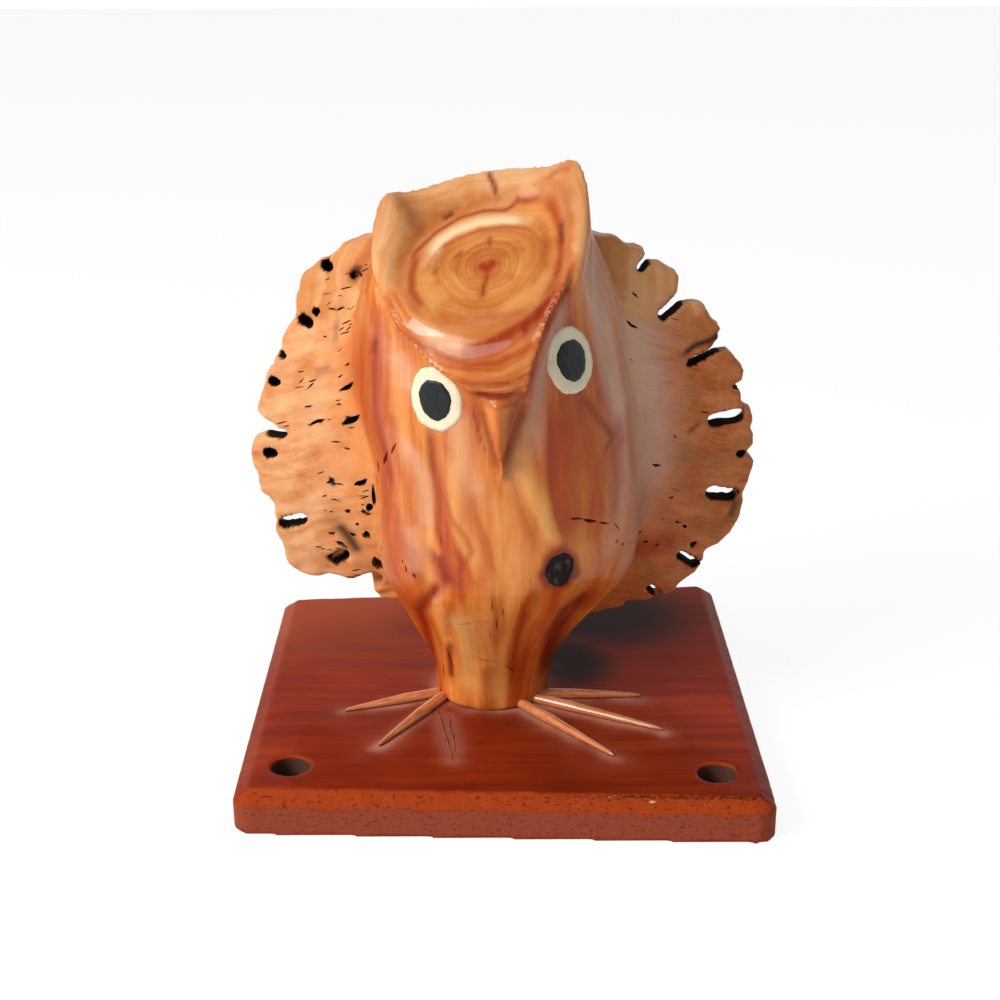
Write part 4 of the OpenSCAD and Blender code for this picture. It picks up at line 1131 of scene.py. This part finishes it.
plaqueColours = {
    "top": ((0.19, 0.018, 0.004), (0.29, 0.033, 0.007), (0.40, 0.060, 0.013)),
    "bevel": ((0.36, 0.05, 0.010), (0.08, 0.014, 0.006)), "chips": (0.70, 0.33, 0.17),
    "side": ((0.30, 0.063, 0.032), (0.16, 0.028, 0.014)), "back": (0.42, 0.085, 0.026),
    "shade": (0.012, 0.003, 0.002), "arris": (0.045, 0.008, 0.004), "dust": (0.46, 0.20, 0.135),
    "bore": (0.10, 0.045, 0.03), "gloss": (0.25, 0.03, 0.015),
}


def plaqueWood():
    f, c = Finish("lacqueredMahogany"), plaqueColours
    at = f.place()
    x, y, z = f.parts(at)
    bent = f.shift(at, 6.0, 0.03)
    grain = f.noise(f.stretch(bent, (0.012, 0.22, 0.3)), 1.0, 4.0, 0.6)
    fine = f.noise(f.stretch(at, (0.06, 1.6, 1.6)), 1.0, 3.0, 0.6)
    cloud = f.noise(f.stretch(at, (0.02, 0.03, 0.03), shift=(5, 2, 0)), 1.0, 2.0)
    tone = grain * 0.4 + fine * 0.15 + cloud * 0.5 - 0.03
    top = f.ramp(f.step(tone, 0.3, 0.72), *zip((0.0, 0.5, 1.0), c["top"]))
    flecks = f.noise(f.stretch(at, (0.8, 1.1, 1.6)), 1.0, 4.0, 0.7)
    bevel = f.mix(f.step(flecks, 0.56, 0.66), *c["bevel"])
    chips = f.noise(f.stretch(at, (0.22, 0.4, 0.5), shift=(2, 0, 0)), 1.0, 3.0, 0.7)
    bevel = f.mix(f.step(chips, 0.67, 0.70), bevel, c["chips"])
    side = f.mix(f.step(flecks, 0.5, 0.7), *c["side"])
    # painted reflection: the top turns lighter and more orange towards the back left, where the lacquer
    # mirrors the pale room
    back = f.step(y, -10.0, 70.0) * f.step(x, 40.0, -60.0, 0.3, 1.0)
    top = f.mix(back, top, c["back"])
    # painted shadow behind the owl, laid into the top's colour
    top = f.mix(f.mark("dim") * plaque["shadeStrength"], top, c["shade"])
    colour = f.mix(f.mark("bevel"), top, bevel)
    colour = f.mix(f.mark("arris") * f.step(flecks, 0.42, 0.52) * 0.85, colour, c["arris"])
    colour = f.mix(f.mark("edge"), colour, side)
    colour = f.mix(f.mark("dust") * 0.9, colour, c["dust"])
    colour = f.mix(f.mark("bore"), colour, c["bore"])
    edge = f.mark("edge")
    normal = f.raised(fine * 0.3 + grain * 0.4 + flecks * (edge * 0.7 + f.mark("bevel") * 0.5),
                      0.12, 0.4)
    rough = 0.3 + edge * 0.25 + f.mark("dust") * 0.25 + f.mark("bore") * 0.4
    coat = (1.0 - f.mark("dust") * 0.6) * (1.0 - edge * 0.7) * (1.0 - f.mark("bore"))
    sheen = (1.0 - f.mark("dust")) * (1.0 - edge) * (1.0 - f.mark("bore")) * (
        1.0 - f.mark("dim")) * (1.0 - f.mark("bevel")) * 0.3
    coat = coat * (1.0 - f.mark("dim")) * (1.0 - f.mark("bevel") * 0.8) * 0.05
    return f.surface(colour, normal, Roughness=rough, Coat_Weight=coat, Metallic=sheen,
                     Coat_Roughness=0.05, Specular_IOR_Level=0.02, Specular_Tint=c["gloss"])


board = plainCopy("base_board", "base_board_worn")
solidTree = treeOf(board)
remeshed(board, plaque["voxel"])
wearPlaque(board, solidTree)
paintPlaque(board)
shadeSmooth(board.data)
dressed(board, plaqueWood(), "plaque_wood", "base_board")
print("the plaque is ready:", len(board.data.vertices), "points")

toeSet = {"root": 1.6, "middle": 1.75, "tip": 0.55, "knife": 0.22, "lift": 0.55, "rise": 0.5,
          "seedStep": 3.7, "gap": 0.01, "foot": (0.12, 0.035, 0.02),
          "colours": ((0.42, 0.095, 0.022), (0.62, 0.19, 0.055), (0.76, 0.33, 0.14))}
glueBead = {"root": 0.34, "middle": 0.4, "tip": 0.2, "knife": 0.9, "seedStep": 2.3, "seed": 9,
            "colours": ((0.13, 0.02, 0.008), (0.34, 0.10, 0.05))}


class Tree:  # a Geometry Nodes tree with named inputs
    def __init__(self, name, **inputs):
        self.group = bpy.data.node_groups.new(name, "GeometryNodeTree")
        face = self.group.interface
        face.new_socket("Geometry", in_out="INPUT", socket_type="NodeSocketGeometry")
        for label, kind in inputs.items():
            face.new_socket(label, in_out="INPUT", socket_type="NodeSocket" + kind)
        face.new_socket("Geometry", in_out="OUTPUT", socket_type="NodeSocketGeometry")
        self.given = self.group.nodes.new("NodeGroupInput")

    def node(self, kind, settings=None, values=None, out=0):
        n = self.group.nodes.new(kind)
        for key, value in (settings or {}).items():
            setattr(n, key, value)
        for key, value in (values or {}).items():
            if isinstance(value, bpy.types.NodeSocket):
                self.group.links.new(value, n.inputs[key])
            else:
                n.inputs[key].default_value = value
        return n.outputs[out] if n.outputs else n

    def input(self, label):
        return self.given.outputs[label]

    def maths(self, operation, a, b=0.0):
        return self.node("ShaderNodeMath", {"operation": operation}, {0: a, 1: b})

    def finish(self, geometry):
        self.node("NodeGroupOutput", values={"Geometry": geometry})
        return self.group


def grown(piece, group, **values):
    # the piece's mesh as the tree makes it, with its inputs set by their identifiers
    made = piece.modifiers.new("grown", "NODES")
    made.node_group = group
    for item in group.interface.items_tree:
        if item.item_type == "SOCKET" and item.in_out == "INPUT" and item.name in values:
            made[item.identifier] = values[item.name]
    return applied(piece)


def sliverTree(material):
    t = Tree("whittledSliver", Start="Vector", End="Vector", Root="Float", Middle="Float",
             Tip="Float", Knife="Float", Seed="Float", Floor="Float")
    line = t.node("GeometryNodeCurvePrimitiveLine", values={"Start": t.input("Start"),
                                                            "End": t.input("End")})
    line = t.node("GeometryNodeResampleCurve", values={"Curve": line, "Count": 40})
    along = t.node("GeometryNodeSplineParameter")
    belly = t.maths("SINE", t.maths("MULTIPLY", along, math.pi))
    taper = t.node("ShaderNodeMapRange", values={0: along, 1: 0.35, 2: 1.0,
                                                 3: t.input("Root"), 4: t.input("Tip")})
    swell = t.maths("MULTIPLY", belly, t.maths("SUBTRACT", t.input("Middle"), t.input("Root")))
    radius = t.maths("ADD", taper, swell)
    blunt = t.node("ShaderNodeMapRange", {"interpolation_type": "SMOOTHSTEP"},
                   {0: along, 1: 1.0, 2: 0.955, 3: 0.35, 4: 1.0})
    radius = t.maths("MULTIPLY", radius, blunt)
    line = t.node("GeometryNodeSetCurveRadius", values={"Curve": line, "Radius": radius})
    line = t.node("GeometryNodeStoreNamedAttribute", {"data_type": "FLOAT", "domain": "POINT"},
                  {"Geometry": line, "Name": "along", "Value": along})
    ring = t.node("GeometryNodeCurvePrimitiveCircle", values={"Resolution": 14, "Radius": 1.0})
    turn = t.maths("ABSOLUTE", t.maths("SUBTRACT", along, 0.5))
    ring = t.node("GeometryNodeStoreNamedAttribute", {"data_type": "FLOAT", "domain": "POINT"},
                  {"Geometry": ring, "Name": "around", "Value": turn})
    tube = t.node("GeometryNodeCurveToMesh", values={"Curve": line, "Profile Curve": ring,
                                                     "Fill Caps": True})
    if "Scale" in tube.node.inputs:
        t.group.links.new(radius, tube.node.inputs["Scale"])
    place = t.node("GeometryNodeInputPosition")
    seeded = t.node("ShaderNodeVectorMath", {"operation": "ADD"}, {0: place, 1: t.input("Seed")})
    rough = t.node("ShaderNodeTexNoise", values={"Vector": seeded, "Scale": 210.0, "Detail": 2.0},
                   out="Color")
    centred = t.node("ShaderNodeVectorMath", {"operation": "SUBTRACT"}, {0: rough, 1: (0.5,) * 3})
    offset = t.node("ShaderNodeVectorMath", {"operation": "SCALE"},
                    {0: centred, "Scale": t.input("Knife")})
    tube = t.node("GeometryNodeSetPosition", values={"Geometry": tube, "Offset": offset})
    split = t.node("ShaderNodeSeparateXYZ", values={0: t.node("GeometryNodeInputPosition")})
    flat = t.node("ShaderNodeCombineXYZ", values={
        0: split.node.outputs[0], 1: split.node.outputs[1],
        2: t.maths("MAXIMUM", split.node.outputs[2], t.input("Floor"))})
    tube = t.node("GeometryNodeSetPosition", values={"Geometry": tube, "Position": flat})
    tube = t.node("GeometryNodeRealizeInstances", values={"Geometry": tube})
    return t.finish(t.node("GeometryNodeSetMaterial", values={"Geometry": tube,
                                                              "Material": material}))


def toeWood():
    f = Finish("toeWood")
    at = f.place()
    broad = f.noise(at, 0.12, 2.0)
    along, around = f.mark("along"), f.mark("around")
    grain = f.noise(f.join(along * 2.6 + broad * 3.0, around * 9.0, broad), 1.0, 4.0, 0.6)
    fine = f.noise(f.join(along * 6.0, around * 30.0, broad * 4.0), 1.0, 3.0, 0.6)
    colour = f.ramp(f.step(grain * 0.7 + fine * 0.3, 0.3, 0.7), *zip((0.0, 0.5, 1.0), toeSet["colours"]))
    z = f.parts(at)[2]
    # painted shade: each toe darkens over its lowest millimetre, where it meets the plaque
    low = f.step(z, plaqueTop + 1.1, plaqueTop)
    colour = f.mix(low * 0.6, colour, toeSet["foot"])
    return f.surface(colour, f.raised(grain, 0.2, 0.6), Roughness=0.34, Coat_Weight=0.7,
                     Coat_Roughness=0.12)


toeMaterial = toeWood()
slivers = sliverTree(toeMaterial)
for number, (name, (root, tip)) in enumerate(toes.items()):
    start = bpy.data.objects.new("toe_" + name + "_whittled", bpy.data.meshes.new("toe"))
    bpy.context.scene.collection.objects.link(start)
    height = plaqueTop + toeSet["lift"]
    toe = grown(start, slivers, Start=Vector((*root, height + toeSet["rise"])) * mm,
                End=Vector((*tip, height)) * mm, Root=toeSet["root"] * mm,
                Middle=toeSet["middle"] * mm, Tip=toeSet["tip"] * mm, Knife=toeSet["knife"] * mm,
                Seed=number * toeSet["seedStep"], Floor=(plaqueTop + toeSet["gap"]) * mm)
    shadeSmooth(toe.data)
    side, place = name.split("_")[1], name.split("_")[0]
    dressed(toe, toeMaterial, "toe_wood", f"toe_{side}_{place}")
glue = Finish("oldGlue")
glueGrain = glue.noise(glue.place(), 0.7, 4.0, 0.6)
glueColour = glue.ramp(glueGrain, *zip((0.35, 0.7), glueBead["colours"]))
glueMaterial = glue.surface(glueColour, glue.raised(glueGrain, 0.2, 0.6), Roughness=0.55)
beads = sliverTree(glueMaterial)
for number, (root, tip) in enumerate(glueScar):
    start = bpy.data.objects.new(f"glue_scar_{number + 1}", bpy.data.meshes.new("bead"))
    bpy.context.scene.collection.objects.link(start)
    bead = grown(start, beads, Start=Vector((*root, plaqueTop)) * mm,
                 End=Vector((*tip, plaqueTop)) * mm, Root=glueBead["root"] * mm,
                 Middle=glueBead["middle"] * mm, Tip=glueBead["tip"] * mm,
                 Knife=glueBead["knife"] * mm, Seed=number * glueBead["seedStep"] + glueBead["seed"],
                 Floor=(plaqueTop + toeSet["gap"]) * mm)
    shadeSmooth(bead.data)
    dressed(bead, glueMaterial, "toe_wood")
print("the toes are glued on")

ticks = {"perSquareMetre": 42000.0, "length": 1.5, "width": 0.2, "thick": 0.14, "seed": 7,
         "drop": -0.34, "swing": 0.2}


def tickTree(material):
    t = Tree("barkTicks", Density="Float", Length="Float", Width="Float", Thick="Float",
             Drop="Float", Swing="Float", Seed="Int")
    area = t.node("GeometryNodeInputNamedAttribute", {"data_type": "FLOAT"}, {"Name": "tickArea"})
    spread = t.node("GeometryNodeDistributePointsOnFaces", {"distribute_method": "RANDOM"}, {
        "Mesh": t.input("Geometry"), "Density": t.maths("MULTIPLY", area, t.input("Density")),
        "Seed": t.input("Seed")})
    normal = spread.node.outputs["Normal"]
    stand = t.node("FunctionNodeAlignRotationToVector", {"axis": "Z"}, {"Vector": normal})
    split = t.node("ShaderNodeSeparateXYZ", values={0: t.node("GeometryNodeInputPosition")})
    drop = t.maths("MULTIPLY", t.maths("SIGN", split), t.input("Drop"))
    way = t.node("ShaderNodeCombineXYZ", values={0: 1.0, 2: drop})
    lay = t.node("FunctionNodeAlignRotationToVector", {"axis": "X", "pivot_axis": "Z"},
                 {"Rotation": stand, "Vector": way})
    swing = t.node("FunctionNodeRandomValue", {"data_type": "FLOAT"},
                   {2: -1.0, 3: 1.0, "Seed": 3}, out=1)
    swing = t.maths("MULTIPLY", swing, t.input("Swing"))
    swing = t.node("ShaderNodeCombineXYZ", values={2: swing})
    lay = t.node("FunctionNodeRotateRotation", {"rotation_space": "LOCAL"},
                 {"Rotation": lay, "Rotate By": swing})
    longer = t.node("FunctionNodeRandomValue", {"data_type": "FLOAT"},
                    {2: 0.35, 3: 1.3, "Seed": 5}, out=1)
    wider = t.node("FunctionNodeRandomValue", {"data_type": "FLOAT"},
                   {2: 0.5, 3: 1.2, "Seed": 9}, out=1)
    size = t.node("ShaderNodeCombineXYZ", values={
        0: t.maths("MULTIPLY", longer, t.input("Length")),
        1: t.maths("MULTIPLY", wider, t.input("Width")), 2: t.input("Thick")})
    seed = t.node("GeometryNodeMeshIcoSphere", values={"Radius": 1.0, "Subdivisions": 2})
    put = t.node("GeometryNodeInstanceOnPoints", values={
        "Points": spread, "Instance": seed, "Rotation": lay, "Scale": size})
    put = t.node("GeometryNodeRealizeInstances", values={"Geometry": put})
    return t.finish(t.node("GeometryNodeSetMaterial", values={"Geometry": put,
                                                              "Material": material}))


p, n = placesOf(owlPiece.data), normalsOf(owlPiece.data)
patches = ease(lumps(p, (16, 16, 12), 31) * 1.6 + 0.35)
reach = np.hypot(p[:, 0], p[:, 2] - 90)
left = ease((-34 - p[:, 0]) / 4) * ease((70 - reach) / 6)
right = 0.22 * ease((p[:, 0] - 36) / 5) * ease((68 - reach) / 8)
store(owlPiece.data, "tickArea", (left + right) * wingShare(p) * patches * (n[:, 1] < -0.4))
ticked = bpy.data.objects.new("wing_bark_ticks", owlPiece.data.copy())
bpy.context.scene.collection.objects.link(ticked)
grown(ticked, tickTree(bark), Density=ticks["perSquareMetre"], Length=ticks["length"] * mm,
      Width=ticks["width"] * mm, Thick=ticks["thick"] * mm, Drop=ticks["drop"],
      Swing=ticks["swing"], Seed=ticks["seed"])
dressed(ticked, bark, "carved_wood")
print("the wings have their bark ticks:", len(ticked.data.polygons), "faces")


brassColours = ((0.62, 0.47, 0.2), (0.28, 0.18, 0.08))  # the metal, then its tarnish


def brassFinish():
    f = Finish("screwBrass")
    at = f.place()
    x, y, z = f.parts(at)
    turned = f.noise(f.join(z * 6.0, (x * x + y * y) ** 0.5 * 2.0, 0.0), 1.0, 3.0)
    stain = f.noise(at, 0.8, 4.0, 0.7)
    colour = f.mix(f.step(stain, 0.45, 0.75), *brassColours)
    return f.surface(colour, f.raised(turned, 0.1, 0.5), Metallic=1.0, Roughness=0.28 + stain * 0.25)


brass = brassFinish()
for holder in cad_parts["fixing_screws"].material_slots:
    holder.material = brass


def pixelsOf(piece, chosen=None):
    # where those of a piece's points show that nothing hides
    places = np.array([v.co for v in piece.data.vertices])
    places = places if chosen is None else places[chosen]
    graph = bpy.context.evaluated_depsgraph_get()
    seen = []
    for place in places:
        way = Vector(place) - view.translation
        hit = bpy.context.scene.ray_cast(graph, view.translation, way.normalized())
        if not hit[0] or (hit[1] - view.translation).length > way.length - 0.0015:
            seen.append(showsAt(place))
    return np.array(seen)


def middleOf(pixels):
    # the middle of what shows
    return (pixels.min(0) + pixels.max(0)) / 2


def writePoints():
    # how far each thing shows from its image point, which says nothing of the photo's own place
    p = placesOf(owlPiece.data)
    value = {}
    for name in ("rings", "cut"):
        flat = np.zeros(len(p), np.float32)
        owlPiece.data.attributes[name].data.foreach_get("value", flat)
        value[name] = flat
    skin = pixelsOf(owlPiece, np.arange(0, len(p), 2))
    top = skin[skin[:, 1] < 260]
    ear = top[top[:, 0] < 430]
    shows = {
        "leftEarTip": ear[np.argmin(ear[:, 1] + 0.5 * ear[:, 0])],
        "rightEarTip": top[np.argmin(top[:, 1])], "leftWing": skin[np.argmin(skin[:, 0])],
        "pith": middleOf(pixelsOf(owlPiece, (value["rings"] < 0.13) & (value["cut"] > 0.5))),
        "knot": middleOf(pixelsOf(knotPiece)),
    }
    beak = (np.abs(p[:, 0]) < 3) & (p[:, 2] > 86) & (p[:, 2] < 110) & (p[:, 1] < -38.6)
    beak = pixelsOf(owlPiece, beak)
    shows["beakTip"] = beak[np.argmax(beak[:, 1])]
    for side in ("left", "right"):
        shows[side + "Eye"] = middleOf(pixelsOf(bpy.data.objects[f"eye_white_{side}_brushed"]))
    q = placesOf(board.data)
    edge = pixelsOf(board, np.arange(0, len(q), 2))
    shows["plaqueLeft"], shows["plaqueRight"] = edge[np.argmin(edge[:, 0])], edge[np.argmax(edge[:, 0])]
    shows["plaqueBottom"] = edge[np.argmax(edge[:, 1])]
    back = edge[edge[:, 1] < 640]
    shows["plaqueBackLeft"] = back[np.argmin(back @ (0.63, 0.78))]
    shows["plaqueBackRight"] = back[np.argmax(back @ (0.58, -0.81))]
    for side, sign in (("left", -1), ("right", 1)):
        around = np.hypot(q[:, 0] - sign * plaque["holeX"],
                          q[:, 1] - (plaque["holeY"] - sign * plaque["holeTurn"]))
        rim = (around > 5.2) & (around < 6.1) & (q[:, 2] > plaqueTop - 0.4)
        shows[side + "Socket"] = middleOf(pixelsOf(board, rim))
    for name, (root, tip) in toes.items():
        toe = bpy.data.objects["toe_" + name + "_whittled"]
        t = placesOf(toe.data)
        far = np.hypot(t[:, 0] - root[0], t[:, 1] - root[1])
        where, side = name.split("_")
        shows[where + side.title() + "Toe"] = middleOf(pixelsOf(toe, far > far.max() - 0.6))
    found = {name: [round(float(shows[name][k] - imagePoints[name][k]), 1) for k in (0, 1)]
             for name in imagePoints if name in shows}
    print("points:", found)


writePoints()
